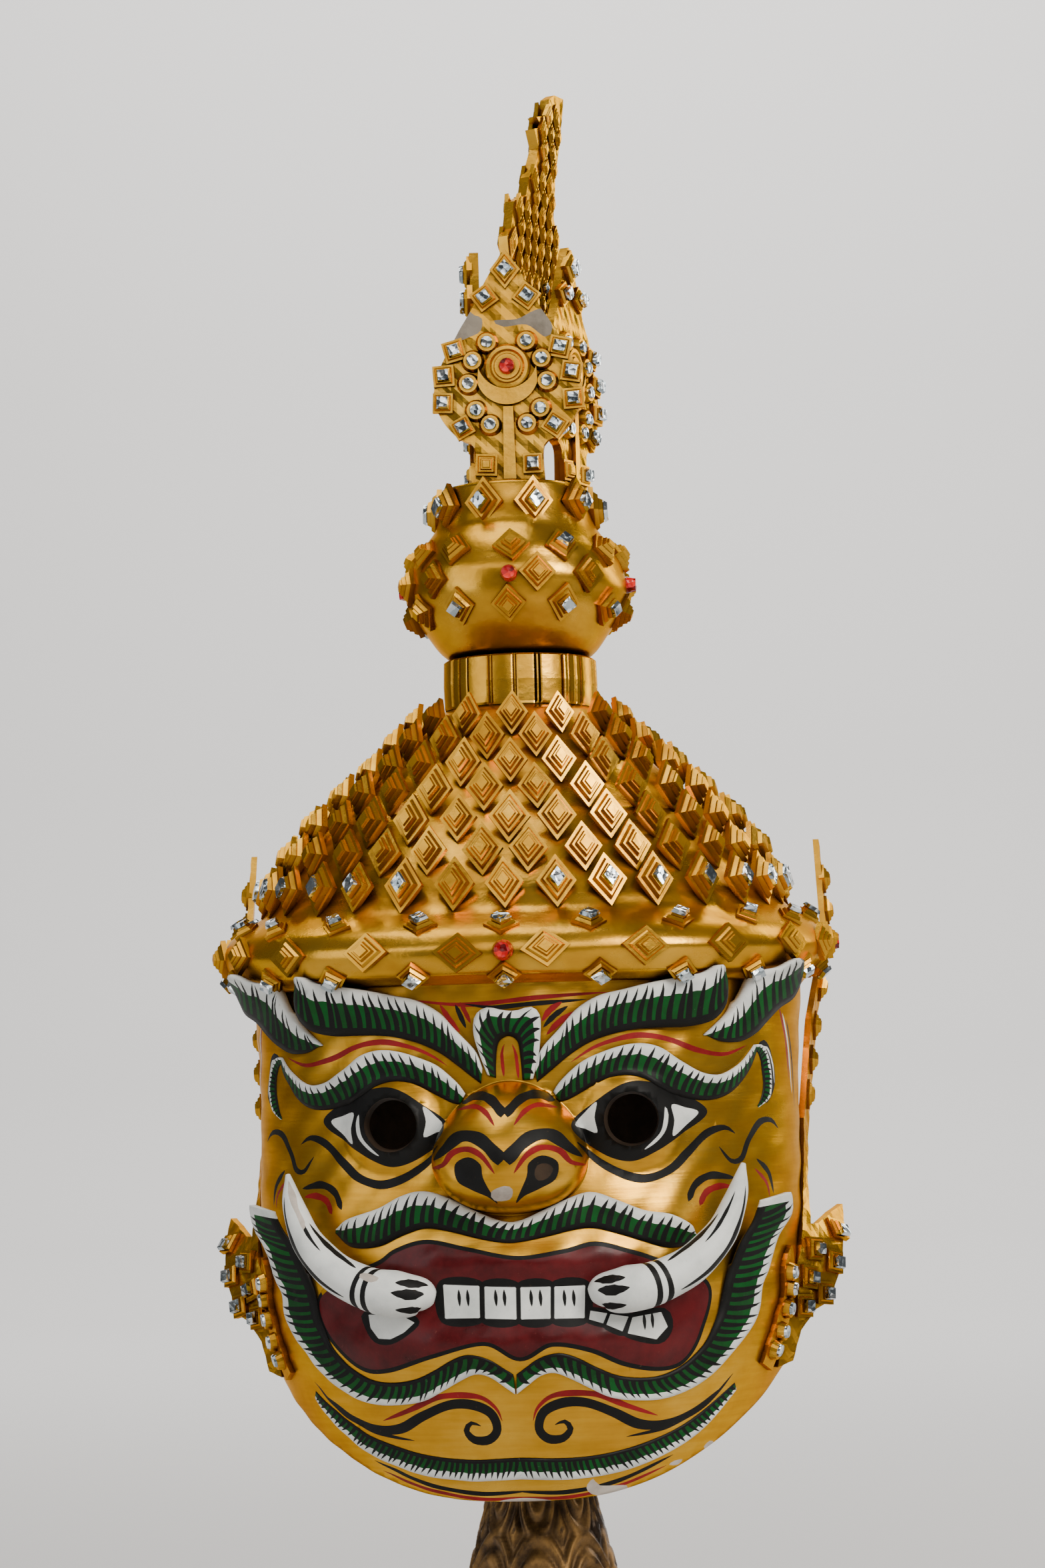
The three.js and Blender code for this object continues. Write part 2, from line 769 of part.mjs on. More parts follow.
function bent(geometry) {
  const position = geometry.getAttribute("position");
  for (let i = 0; i < position.count; i++) {
    const point = earPoint(position.getX(i), position.getZ(i), -position.getY(i));
    position.setXYZ(i, point.x, point.y, point.z);
  }
  return geometry;
}

function earOrnament() {
  const shape = new THREE.Shape(EAR_OUTLINE.map(([back, z]) => new THREE.Vector2(back, z)));
  const sheet = new THREE.ExtrudeGeometry(shape, { depth: EAR.thickness, bevelEnabled: false });
  sheet.rotateX(Math.PI / 2);
  const tiles = EAR_TILES.map(([back, z]) => {
    const tile = new THREE.CylinderGeometry(EAR_TILE.top, EAR_TILE.half, EAR_TILE.rise + SEAT_SINK, 4);
    tile.rotateX(Math.PI);
    tile.translate(back, -EAR.thickness + (SEAT_SINK - EAR_TILE.rise) / 2, z);
    return solidOf(bent(tile));
  });
  return wasm.Manifold.union([solidOf(bent(sheet)), ...tiles]);
}

// Assembly: "right" is the +X side, to the right of someone who faces the mask

const mask = new THREE.Group();
mask.position.z = MASK_ZERO;
const shell = maskShell();
const bulb = crownBulb();
const forward = new THREE.Vector3(0, -1, 0);
const sideways = new THREE.Vector3(1, 0, 0);
mask.add(meshOf("mask_shell", shell, GILT));
mask.add(meshOf("crown_collar", crownCollar(), GILT));
mask.add(meshOf("crown_bulb", bulb, GILT));

const rightTusk = fitted(tusk(), shell, forward);
mask.add(meshOf("tusk_right", rightTusk, IVORY));
mask.add(meshOf("tusk_left", mirrored(rightTusk), IVORY));

const rightEar = fitted(earOrnament(), shell, sideways);
mask.add(meshOf("ear_ornament_right", rightEar, GILT));
mask.add(meshOf("ear_ornament_left", mirrored(rightEar), GILT));

const onCup = [0, -PLAQUE.offset, PLAQUE.foot];
mask.add(meshOf("plaque_front", plaque(lozengeSeats()).translate(onCup), GILT));
mask.add(meshOf("plaque_right", sidePlaque(RIGHT_PLAQUE), GILT));
mask.add(meshOf("plaque_left", mirrored(sidePlaque(LEFT_PLAQUE)), GILT));
mask.add(meshOf("flame_blade", flameBlade().translate([0, 0, PLAQUE.foot]), GILT));

const plaqueStone = glass(PLAQUE_STONE, PLAQUE_BOSS.rise).translate([0, 0, PLAQUE_BOSS.height]);
mask.add(meshOf("red_stone_plaque", plaqueStone.translate(onCup), RED_GLASS));
for (let k = 0; k < STONES_ROUND; k++) {
  const angle = (2 * Math.PI * k) / STONES_ROUND;
  const brim = headRadius(angle, BRIM_STONE.height);
  const height = crownPoint(angle, BRIM_STONE.height, 0).z;
  const brimStone = stone({ ...BRIM_STONE, height }, brim, shell, angle);
  const bulbStone = stone(BULB_STONE, bulbRadius(BULB_STONE.height), bulb, angle);
  mask.add(meshOf(`red_stone_brim_${k + 1}`, brimStone, RED_GLASS));
  mask.add(meshOf(`red_stone_bulb_${k + 1}`, bulbStone, RED_GLASS));
}

const roundMirror = glass(ROUND_MIRROR, 0);
roundMirrorPlaces().forEach((place, k) => {
  const mirror = placed(roundMirror, place).translate(onCup);
  mask.add(meshOf(`round_mirror_${k + 1}`, mirror, MIRROR_GLASS));
});
const lozengeMirror = glass(LOZENGE_MIRROR, LOZENGE_SEAT.rise);
// The last seat, at the foot of the plaque, has lost its mirror.
const seatsWithMirror = lozengePlaces().slice(0, -1);
seatsWithMirror.forEach((place, k) => {
  const mirror = placed(lozengeMirror, place).translate(onCup);
  mask.add(meshOf(`lozenge_mirror_${k + 1}`, mirror, MIRROR_GLASS));
});

const part = new THREE.Group();
part.add(mask);
part.add(meshOf("stand", stand(), BRONZE));

export default part;
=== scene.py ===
# A dance giant's head mask in gilt and painted papier-mache, with a tiered crown, on its carved stand.
# The face looks along -Y and +X is on the right of someone who faces it.
import math
import random
import bmesh
import bpy
import numpy as np
from mathutils import Matrix, Vector, geometry, kdtree


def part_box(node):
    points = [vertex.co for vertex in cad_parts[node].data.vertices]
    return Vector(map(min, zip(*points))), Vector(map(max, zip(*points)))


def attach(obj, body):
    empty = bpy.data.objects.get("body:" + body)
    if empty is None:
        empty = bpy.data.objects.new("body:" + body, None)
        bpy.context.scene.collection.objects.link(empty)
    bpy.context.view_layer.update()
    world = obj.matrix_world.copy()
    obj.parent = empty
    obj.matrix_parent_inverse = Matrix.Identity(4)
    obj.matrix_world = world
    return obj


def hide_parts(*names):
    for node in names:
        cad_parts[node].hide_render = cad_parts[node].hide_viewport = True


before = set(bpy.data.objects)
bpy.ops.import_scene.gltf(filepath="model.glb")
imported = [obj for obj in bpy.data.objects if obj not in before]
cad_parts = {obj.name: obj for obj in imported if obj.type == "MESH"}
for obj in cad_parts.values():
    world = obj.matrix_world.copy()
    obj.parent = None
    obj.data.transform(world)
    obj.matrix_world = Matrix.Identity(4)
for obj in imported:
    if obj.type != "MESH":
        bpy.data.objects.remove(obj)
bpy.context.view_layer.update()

# Camera: level with the mask's eyes and a little to one side, tipped up to take in the crown.
# The mask leans a little in the photograph, so the camera is rolled instead.
MM = 0.001
PHOTO_WIDTH, PHOTO_HEIGHT = 1568, 2352
CHIN_RIM = 17.0
MASK_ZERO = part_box("mask_shell")[0].z / MM - CHIN_RIM
VIEW_DISTANCE = 1500.0
VIEW_HEIGHT = 174.0
VIEW_YAW = math.radians(4.2)
VIEW_PITCH = math.radians(5.25)
VIEW_ROLL = math.radians(1.5)
FOCAL_PIXELS = 5220.0
SENSOR = 36.0
VIEW_END = 20.0

view_from = np.array([math.sin(VIEW_YAW), -math.cos(VIEW_YAW), 0.0]) * VIEW_DISTANCE
view_from[2] = VIEW_HEIGHT
ahead = np.array([-math.sin(VIEW_YAW) * math.cos(VIEW_PITCH),
                  math.cos(VIEW_YAW) * math.cos(VIEW_PITCH),
                  math.sin(VIEW_PITCH)])
level = np.array([math.cos(VIEW_YAW), math.sin(VIEW_YAW), 0.0])
upright = np.cross(level, ahead)
view_right = math.cos(VIEW_ROLL) * level - math.sin(VIEW_ROLL) * upright
view_up = math.sin(VIEW_ROLL) * level + math.cos(VIEW_ROLL) * upright


def placed(name, data):
    """A new object of the scene."""
    made = bpy.data.objects.new(name, data)
    bpy.context.scene.collection.objects.link(made)
    return made


lens = bpy.data.cameras.new("camera")
lens.sensor_fit = "VERTICAL"
lens.sensor_height = SENSOR
lens.lens = SENSOR * FOCAL_PIXELS / PHOTO_HEIGHT
lens.clip_end = VIEW_END
camera = placed("camera", lens)
turn = Matrix((view_right, view_up, -ahead)).transposed().to_4x4()
camera.matrix_world = Matrix.Translation(Vector(view_from + [0, 0, MASK_ZERO]) * MM) @ turn
bpy.context.scene.camera = camera


# Studio: a pale floor that sweeps up behind the mask, lit by soft panels, the strongest of them on the right.
# One panel, high in front, is there for the crown's tiles, and one lights the sweep.
SWEEP = [(-6.0, 0.0), (3.6, 0.0), (4.2, 0.08), (4.65, 0.35), (4.9, 0.9), (5.0, 1.7), (5.0, 5.0)]
SWEEP_HALF = 7.0
PANELS = [
    ("key panel", (1.2, -1.25, 1.35), (0.8, 1.1), (0, 0, 0.42), 38.0, (1.0, 0.95, 0.87)),
    ("fill panel", (-1.8, -1.3, 0.9), (1.2, 1.8), (0, 0, 0.45), 12.0, (0.97, 0.98, 1.0)),
    ("front panel", (0.35, -2.4, 1.25), (1.6, 1.0), (0, 0, 0.6), 9.0, (1.0, 0.97, 0.93)),
    ("crown panel", (-0.6, -2.1, 1.95), (2.6, 0.8), (0, 0, 0.5), 10.0, (1.0, 0.96, 0.9)),
    ("top panel", (-0.3, -0.1, 2.0), (1.0, 0.9), (0, 0, 0.42), 9.0, (1.0, 0.97, 0.93)),
    ("rim panel", (1.3, 1.0, 1.1), (0.4, 1.2), (0, 0, 0.42), 9.0, (1.0, 0.96, 0.9)),
    ("backdrop panel", (0, 2.4, 3.6), (4.0, 1.2), (0, 5.0, 0.7), 330.0, (1.0, 0.99, 0.98)),
]
ROOM_GLOW = (0.55, 0.54, 0.53, 1)
ROOM_STRENGTH = 0.22
FLOOR_COLOUR = (0.56, 0.55, 0.54, 1)
FLOOR_ROUGHNESS = 0.85


def feed(made, **sources):
    """Sets a node's sockets; a linked one is given as the output socket that feeds it."""
    for name, value in sources.items():
        socket = made.inputs[int(name[1:])] if name[1:].isdigit() else made.inputs[name.replace("_", " ")]
        if isinstance(value, bpy.types.NodeSocket):
            made.id_data.links.new(value, socket)
        else:
            socket.default_value = value


def new_material(name, colour, roughness, metallic=0.0):
    material = bpy.data.materials.new(name)
    material.use_nodes = True
    shader = material.node_tree.nodes["Principled BSDF"]
    feed(shader, Base_Color=colour, Roughness=roughness, Metallic=metallic)
    return material, material.node_tree, shader


def mesh_object(name, points, faces, materials, indices=None, smooth=True):
    """A mesh of points in millimetres above the ground, with one material index for each face."""
    mesh = bpy.data.meshes.new(name)
    mesh.from_pydata([tuple(p) for p in np.asarray(points, float) * MM], [], [tuple(f) for f in faces])
    for material in materials:
        mesh.materials.append(material)
    if indices is not None:
        mesh.polygons.foreach_set("material_index", np.asarray(indices, np.int32))
    mesh.polygons.foreach_set("use_smooth", np.full(len(mesh.polygons), smooth))
    mesh.validate()
    return placed(name, mesh)


floor_points = [(x / MM, y / MM, z / MM) for y, z in SWEEP for x in (-SWEEP_HALF, SWEEP_HALF)]
floor_faces = [(2 * i, 2 * i + 1, 2 * i + 3, 2 * i + 2) for i in range(len(SWEEP) - 1)]
floor_material = new_material("pale_floor", FLOOR_COLOUR, FLOOR_ROUGHNESS)[0]
floor = mesh_object("floor", floor_points, floor_faces, [floor_material])
for name, place, size, aim, watts, colour in PANELS:
    panel = bpy.data.lights.new(name, "AREA")
    panel.shape = "RECTANGLE"
    panel.size, panel.size_y = size
    panel.energy = watts
    panel.color = colour
    lamp = placed(name, panel)
    lamp.location = place
    lamp.rotation_euler = (Vector(aim) - Vector(place)).to_track_quat("-Z", "Y").to_euler()
world = bpy.data.worlds.new("room")
world.use_nodes = True
feed(world.node_tree.nodes["Background"], Color=ROOM_GLOW, Strength=ROOM_STRENGTH)
bpy.context.scene.world = world


# Stand: a turned post of dark bronzed wood, carved with loops of rope-like strands, gold where it is rubbed.
# The post goes up inside the mask and ends in a pad that the crown rests on.
STAND_PROFILE = [(0, 78), (6, 80), (12, 78), (17, 66), (26, 60), (45, 50), (70, 41), (95, 35.5), (113, 32),
                 (130, 27), (144, 23.5), (158, 19), (416, 19), (442, 60.2), (444, 60.2), (459, 45.2)]
STAND_SIDES = 192
STAND_LOOPS = 8
CARVED_LOW, CARVED_HIGH = 15.0, 150.0
LOOP_PITCH = 46.0
STRAND_PITCH = 5.6
LOOP_WIDTH, LOOP_SHIFT, LOOP_SAG, LOOP_SQUASH = 30.0, 0.15, 6.0, 0.62
CARVING, CARVING_FADE = 1.7, 8.0
CARVED_STEP, CARVED_POINTS = 1.6, 12
# The darkest bronze is both the wood's dark tone and painted shade in the carving's recesses.
BRONZE_DARK_AND_SHADE = (0.012, 0.007, 0.004, 1)
BRONZE = (0.05, 0.027, 0.013, 1)
BRONZE_RUBBED = (0.46, 0.25, 0.07, 1)


def lathe(profile, sides, radius_of):
    """Points and faces of a turned body, closed at both ends; radius_of(angle, height, radius) shapes it."""
    points, faces = [], []
    for height, radius in profile:
        for k in range(sides):
            angle = 2 * math.pi * k / sides
            reach = radius_of(angle, height, radius)
            points.append((reach * math.sin(angle), -reach * math.cos(angle), height))
    for row in range(len(profile) - 1):
        for k in range(sides):
            a, b = row * sides + k, row * sides + (k + 1) % sides
            faces.append((a, b, b + sides, a + sides))
    low, high = len(points), len(points) + 1
    points += [(0, 0, profile[0][0]), (0, 0, profile[-1][0])]
    last = (len(profile) - 1) * sides
    for k in range(sides):
        faces.append((low, (k + 1) % sides, k))
        faces.append((high, last + k, last + (k + 1) % sides))
    return points, faces


def finer(profile, step):
    """The same outline with a point at least every step along its height."""
    made = []
    for (low, a), (high, b) in zip(profile, profile[1:]):
        count = max(1, round(abs(high - low) / step))
        made += [(low + (high - low) * i / count, a + (b - a) * i / count) for i in range(count)]
    return made + [profile[-1]]


def strand(angle, height):
    """Height of the carving, from 0 in the cuts to 1 on the strands: nested loops that hang point down."""
    across = (angle * STAND_LOOPS / (2 * math.pi) + 0.5) % 1 - 0.5
    along = (height / LOOP_PITCH + LOOP_SHIFT) % 1 - 0.5
    loop = math.hypot(across * LOOP_WIDTH, (along * LOOP_PITCH + LOOP_SAG) * LOOP_SQUASH)
    return 0.5 + 0.5 * math.cos(2 * math.pi * loop / STRAND_PITCH)


def carved(angle, height, radius):
    within = min(height - CARVED_LOW, CARVED_HIGH - height) / CARVING_FADE
    return radius - CARVING * (1 - strand(angle, height)) * min(max(within, 0), 1)


def node(tree, kind, settings=(), **sources):
    """A new node of a tree, with its settings and sockets set."""
    made = tree.nodes.new(kind if "Node" in kind else tree.bl_idname[:-len("Tree")] + kind)
    for name, value in dict(settings).items():
        setattr(made, name, value)
    feed(made, **sources)
    return made


def ramp(tree, source, stops):
    made = node(tree, "ValToRGB", Fac=source)
    while len(made.color_ramp.elements) < len(stops):
        made.color_ramp.elements.new(0.5)
    for element, (place, colour) in zip(made.color_ramp.elements, stops):
        element.position = place
        element.color = colour
    return made.outputs["Color"]


def grey(value):
    return (value, value, value, 1)


def noise(tree, place, scale, detail, roughness=0.5):
    made = node(tree, "TexNoise", Vector=place, Scale=scale, Detail=detail, Roughness=roughness)
    return made.outputs["Fac"]


def spread(tree, value, low, high, to_low=0.0, to_high=1.0):
    """A value's range from low to high, spread over another range."""
    made = node(tree, "MapRange", Value=value, From_Min=low, From_Max=high, To_Min=to_low, To_Max=to_high)
    return made.outputs["Result"]


def bump(tree, strength, distance, height, **below):
    return node(tree, "Bump", Strength=strength, Distance=distance, Height=height, **below).outputs[0]


def painted_recess_shade(tree, reach, low, high):
    """How far a spot lies open to light, read by ambient occlusion, from 0 deep in a recess to 1 on a free
    face; colours darkened by it carry painted shade.
    """
    open_sky = node(tree, "AmbientOcclusion", {"samples": 6}, Distance=reach)
    return spread(tree, open_sky.outputs["AO"], low, high)


stand_profile = finer(STAND_PROFILE[:CARVED_POINTS], CARVED_STEP) + STAND_PROFILE[CARVED_POINTS:]
stand_points, stand_faces = lathe(stand_profile, STAND_SIDES, carved)
bronze, tree, shader = new_material("bronzed_wood", BRONZE, 0.42, 0.6)
place = node(tree, "TexCoord").outputs["Object"]
worn = noise(tree, place, 55.0, 6.0, 0.65)
# Painted shade: the carving's recesses, found by ambient occlusion, go to the darkest bronze; open spots
# where the noise is worn show rubbed gold.
wear_and_shade = node(tree, "Math", {"operation": "MULTIPLY"}, _0=painted_recess_shade(tree, 0.006, 0.55, 0.95), _1=worn)
feed(shader,
     Base_Color=ramp(tree, wear_and_shade.outputs[0], [(0.12, BRONZE_DARK_AND_SHADE), (0.4, BRONZE), (0.62, BRONZE_RUBBED)]),
     Roughness=ramp(tree, worn, [(0.3, grey(0.3)), (0.7, grey(0.55))]),
     Normal=bump(tree, 0.25, 0.0006, worn))
stand = mesh_object("carved_stand", stand_points, stand_faces, [bronze])
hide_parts("stand")
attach(stand, "root")


# Face: papier-mache pressed over a mould, with a round nose, bulging eyes pierced to see through and full
# lips, brushed all over with gold lacquer and then painted by hand in black, green, white and dark reds.
HEAD_LEVELS = [(17, 84, 99, 92), (35, 95, 108, 102), (50, 102, 113, 108), (80, 110.5, 118, 114),
               (124, 114.5, 119, 117), (168, 114.5, 115, 118), (222, 117, 115, 118), (229, 122, 119, 121)]
SECTION_POWER = 2.3
RIM_RISE = 54.0
WALL = 5.0
BROW_LINE = 226.0
EYE_X, EYE_Z, EYE_BULGE, EYE_SPREAD, EYE_HOLE = 48.0, 167.0, 7.0, 20.0, 10.8
NOSE_Z, NOSE_HALF_WIDTH, NOSE_HALF_HEIGHT, NOSE_RISE, NOSE_TAPER = 157.0, 29.5, 26.0, 33.0, 0.16
NOSE_RINGS = (0.8, 0.86, 0.91, 0.95, 0.98, 0.995, 1.0, 1.03, 1.08)
MOUTH_Z, MOUTH_HALF_WIDTH, MOUTH_HALF_HEIGHT, MOUTH_RISE = 98.0, 78.0, 43.0, 9.0
LIPS = [(113.0, 46.0, 7.0, 3.2), (80.0, 58.0, 9.0, 4.0)]
NOSTRIL_X, NOSTRIL_Z, NOSTRIL_SIZE, NOSTRIL_DENT = 14.5, 149.5, 6.5, 5.0
NOSE_DROOP, NOSE_ROUNDING = 0.1, 0.6
DENTS = 0.35
GIRTH = 118.0
FACE_EDGE = math.radians(100)
FACE_GRID = 2.4
SIGHT_BEFORE, SIGHT_BEYOND = 200, 80
FRONT_TRIES = 12
BRUSH_POINT, BRUSH_LEAST, BRUSH_WAVER, BRUSH_WAVES = 0.6, 0.08, 0.07, 23
levels = np.array(HEAD_LEVELS, float)


def eased(x, xs, ys):
    """A smooth curve through the points that never overshoots them."""
    gap = np.diff(xs)
    slope = np.diff(ys) / gap
    bend = np.zeros(len(xs))
    same = slope[1:] * slope[:-1] > 0
    bend[1:-1][same] = 2 * slope[1:][same] * slope[:-1][same] / (slope[1:][same] + slope[:-1][same])
    bend[0], bend[-1] = slope[0], slope[-1]
    x = np.clip(x, xs[0], xs[-1])
    i = np.clip(np.searchsorted(xs, x) - 1, 0, len(gap) - 1)
    t = (x - xs[i]) / gap[i]
    return (ys[i] * (1 + 2 * t) * (1 - t) ** 2 + ys[i + 1] * t * t * (3 - 2 * t)
            + gap[i] * (bend[i] * t * (1 - t) ** 2 - bend[i + 1] * t * t * (1 - t)))


def head_reach(angle, height):
    """Distance of the bare head from its axis."""
    width = eased(height, levels[:, 0], levels[:, 1])
    depth = np.where(np.cos(angle) > 0, eased(height, levels[:, 0], levels[:, 2]),
                     eased(height, levels[:, 0], levels[:, 3]))
    return ((np.abs(np.sin(angle)) / width) ** SECTION_POWER
            + (np.abs(np.cos(angle)) / depth) ** SECTION_POWER) ** (-1 / SECTION_POWER)


def features(x, z, nose_share=1.0):
    """How far the nose, eyes, lips and nostrils stand out of the bare head."""
    rise = (z - NOSE_Z) / NOSE_HALF_HEIGHT
    nose = (x / NOSE_HALF_WIDTH / (1 - NOSE_TAPER * rise)) ** 2 + rise ** 2
    bulb = nose_share * NOSE_RISE * (1 - NOSE_DROOP * rise) * np.maximum(0, 1 - nose) ** NOSE_ROUNDING
    eye = ((np.abs(x) - EYE_X) ** 2 + (z - EYE_Z) ** 2) / EYE_SPREAD ** 2
    ball = EYE_BULGE * np.maximum(0, 1 - eye)
    mouth = (x / MOUTH_HALF_WIDTH) ** 2 + ((z - MOUTH_Z) / MOUTH_HALF_HEIGHT) ** 2
    relief = MOUTH_RISE * np.exp(-mouth) + np.maximum(bulb, ball)
    for height, half_width, half_height, swell in LIPS:
        relief = relief + swell * np.exp(-(x / half_width) ** 4 - ((z - height) / half_height) ** 2)
    nostril = ((np.abs(x) - NOSTRIL_X) ** 2 + (z - NOSTRIL_Z) ** 2) / NOSTRIL_SIZE ** 2
    relief = relief - NOSTRIL_DENT * np.exp(-nostril)
    uneven = np.sin(x * 0.21 + z * 0.13) * np.sin(z * 0.17 - x * 0.08) + 0.5 * np.sin(x * 0.43 - z * 0.37)
    return relief + DENTS * uneven


def face_reach(angle, height, nose_share=1.0):
    bare = head_reach(angle, height)
    return bare + np.where(np.cos(angle) > 0, features(bare * np.sin(angle), height, nose_share), 0)


def points_of(*coordinates):
    """Points from their coordinates, some of which may be single numbers."""
    return np.stack(np.broadcast_arrays(*coordinates), -1)


def about_axis(reach, angle, height):
    """Points above the ground at this reach from the mask's axis, with angles counted from its front."""
    return points_of(reach * np.sin(angle), -reach * np.cos(angle), height + MASK_ZERO)


def on_head(across, height, lift=0.0, nose_share=1.0):
    """Point above the ground for a place on the face, given round its girth and up its height."""
    angle = np.asarray(across, float) / GIRTH
    height = np.asarray(height, float)
    return about_axis(face_reach(angle, height, nose_share) + lift, angle, height)


def sight(pixels):
    """Directions from the camera towards the photograph's pixels."""
    pixels = np.asarray(pixels, float)
    right = (pixels[:, 0] - PHOTO_WIDTH / 2) / FOCAL_PIXELS
    above = (PHOTO_HEIGHT / 2 - pixels[:, 1]) / FOCAL_PIXELS
    return ahead + right[:, None] * view_right + above[:, None] * view_up


def seen_on_head(pixels, lift=0.0, nose_share=1.0):
    """Places on the face, round its girth and up its height, that the photograph shows at these pixels.
    What lies there may stand off the face by a lift."""
    way = sight(pixels)
    steps = np.arange(VIEW_DISTANCE - SIGHT_BEFORE, VIEW_DISTANCE + SIGHT_BEYOND, 1.0)
    walk = view_from + steps[None, :, None] * way[:, None, :]
    angle = np.arctan2(walk[..., 0], -walk[..., 1])
    skin = face_reach(angle, walk[..., 2], nose_share) + (lift + np.zeros(len(way)))[:, None]
    gap = np.hypot(walk[..., 0], walk[..., 1]) - skin
    first = np.where((gap < 0).any(1), (gap < 0).argmax(1), gap.argmin(1))
    rows = np.arange(len(way))
    before = np.maximum(first - 1, 0)
    drop = gap[rows, before] - gap[rows, first]
    share = np.where(np.abs(drop) > 1e-6, gap[rows, before] / np.where(drop == 0, 1, drop), 0)
    share = np.clip(share, 0, 1)[:, None]
    found = walk[rows, before] * (1 - share) + walk[rows, first] * share
    return points_of(np.arctan2(found[:, 0], -found[:, 1]) * GIRTH, found[:, 2])


def bend(a, b, c, d, t):
    """A point of the smooth curve from b to c, with a and d as the neighbours on either side."""
    return 0.5 * (2 * b + (c - a) * t + (2 * a - 5 * b + 4 * c - d) * t * t
                  + (3 * b - a - 3 * c + d) * t ** 3)


def flowing(points, step, closed=False):
    """A smooth line through the points, with a point at about every step."""
    points = [np.array(p, float) for p in points]
    count = len(points)
    made = []
    for i in range(count if closed else count - 1):
        near = [(i + k) % count if closed else min(max(i + k, 0), count - 1) for k in (-1, 0, 1, 2)]
        a, b, c, d = (points[k] for k in near)
        parts = max(2, int(np.hypot(*(c - b)) / step))
        made += [bend(a, b, c, d, t) for t in np.arange(parts) / parts]
    return np.array(made if closed else made + [points[-1]])


def between(one, other):
    """Outline of the area between two lines that run the same way."""
    return np.concatenate([one, other[::-1]])


def brushed(line, half_width, ends=(0.3, 0.3)):
    """Outline of one brush stroke along a line on the face, thin at its ends."""
    ahead_of = np.gradient(line, axis=0)
    ahead_of /= np.maximum(np.hypot(*ahead_of.T), 1e-6)[:, None]
    run = np.r_[0, np.cumsum(np.hypot(*np.diff(line, axis=0).T))]
    run /= run[-1]
    press = np.ones(len(run))
    for end, from_end in zip(ends, (run, 1 - run)):
        if end:
            press *= np.clip(from_end / end, 0, 1) ** BRUSH_POINT
    press = half_width * np.maximum(press, BRUSH_LEAST) * (1 + BRUSH_WAVER * np.sin(run * BRUSH_WAVES))
    aside = points_of(-ahead_of[:, 1], ahead_of[:, 0]) * press[:, None]
    return between(line + aside, line - aside)


GOLD, BLACK, GREEN, WHITE, RED, MAROON, PAPER, SHADE, CUT = range(9)
STROKE_STEP = 5.0
HALF_STROKES = [
    (BLACK, 1.7, (0.2, 0.2), [(866, 1713), (900, 1743), (940, 1763), (973, 1767), (1007, 1753), (1033, 1727),
                              (1060, 1700), (1087, 1691), (1103, 1700)]),
    (BLACK, 1.4, (0.3, 0.3), [(1079, 1720), (1097, 1741), (1113, 1737), (1123, 1710), (1140, 1683),
                              (1157, 1680), (1168, 1693)]),
    (BLACK, 1.5, (0.1, 0.3), [(1033, 1802), (1043, 1777), (1067, 1763), (1103, 1767)]),
    (RED, 1.3, (0.1, 0.3), [(1050, 1808), (1060, 1788), (1080, 1779), (1099, 1780)]),
    (BLACK, 1.3, (0.3, 0.3), [(1135, 1738), (1153, 1758), (1161, 1790)]),
    (RED, 0.9, (0.3, 0.3), [(1132, 1752), (1150, 1773), (1155, 1795)]),
    (RED, 1.1, (0.3, 0.3), [(857, 1593), (893, 1570), (940, 1555), (973, 1553), (1007, 1560), (1047, 1575),
                            (1087, 1581), (1120, 1568)]),
    (RED, 1.2, (0.3, 0.3), [(800, 2131), (808, 2110), (835, 2092), (893, 2091), (940, 2108), (987, 2123)]),
    (BLACK, 1.9, (0.15, 0.25), [(833, 2137), (847, 2132), (856, 2143), (845, 2157), (823, 2158), (809, 2143),
                                (816, 2118), (845, 2104), (880, 2104), (920, 2118), (960, 2136), (1000, 2135),
                                (1040, 2117), (1080, 2083)]),
    (BLACK, 1.0, (0.3, 0.3), [(940, 2155), (1000, 2140), (1060, 2105), (1100, 2060)]),
    (BLACK, 0.9, (0.2, 0.2), [(775, 2237), (850, 2238), (930, 2220), (1010, 2182)]),
    (RED, 0.7, (0.2, 0.2), [(775, 2246), (850, 2246), (930, 2228), (1000, 2198)]),
    (BLACK, 1.9, (0.2, 0.3), [(1133, 1577), (1146, 1566), (1156, 1590), (1160, 1625), (1150, 1655)]),
    (WHITE, 0.5, (0.2, 0.3), [(1141, 1571), (1151, 1572), (1159, 1595), (1162, 1625)]),
    (RED, 0.9, (0.2, 0.3), [(1168, 1508), (1178, 1555), (1184, 1620)]),
    (WHITE, 0.8, (0.2, 0.3), [(1174, 1520), (1182, 1565), (1188, 1640)]),
    (BLACK, 0.9, (0.2, 0.3), [(1180, 1530), (1187, 1580), (1192, 1660)]),
    (BLACK, 1.7, (0, 0.1), [(757, 1671), (762, 1667), (783, 1647), (807, 1641), (833, 1650)]),
    (RED, 0.9, (0.3, 0.3), [(771, 1688), (787, 1667), (807, 1657), (837, 1661)]),
    (BLACK, 2.3, (0, 0.3), [(757, 1741), (763, 1736), (780, 1718), (800, 1704), (827, 1702), (853, 1720),
                            (874, 1735)]),
    (RED, 1.1, (0.3, 0.3), [(771, 1760), (790, 1733), (813, 1721), (840, 1726), (857, 1743), (880, 1747)]),
]
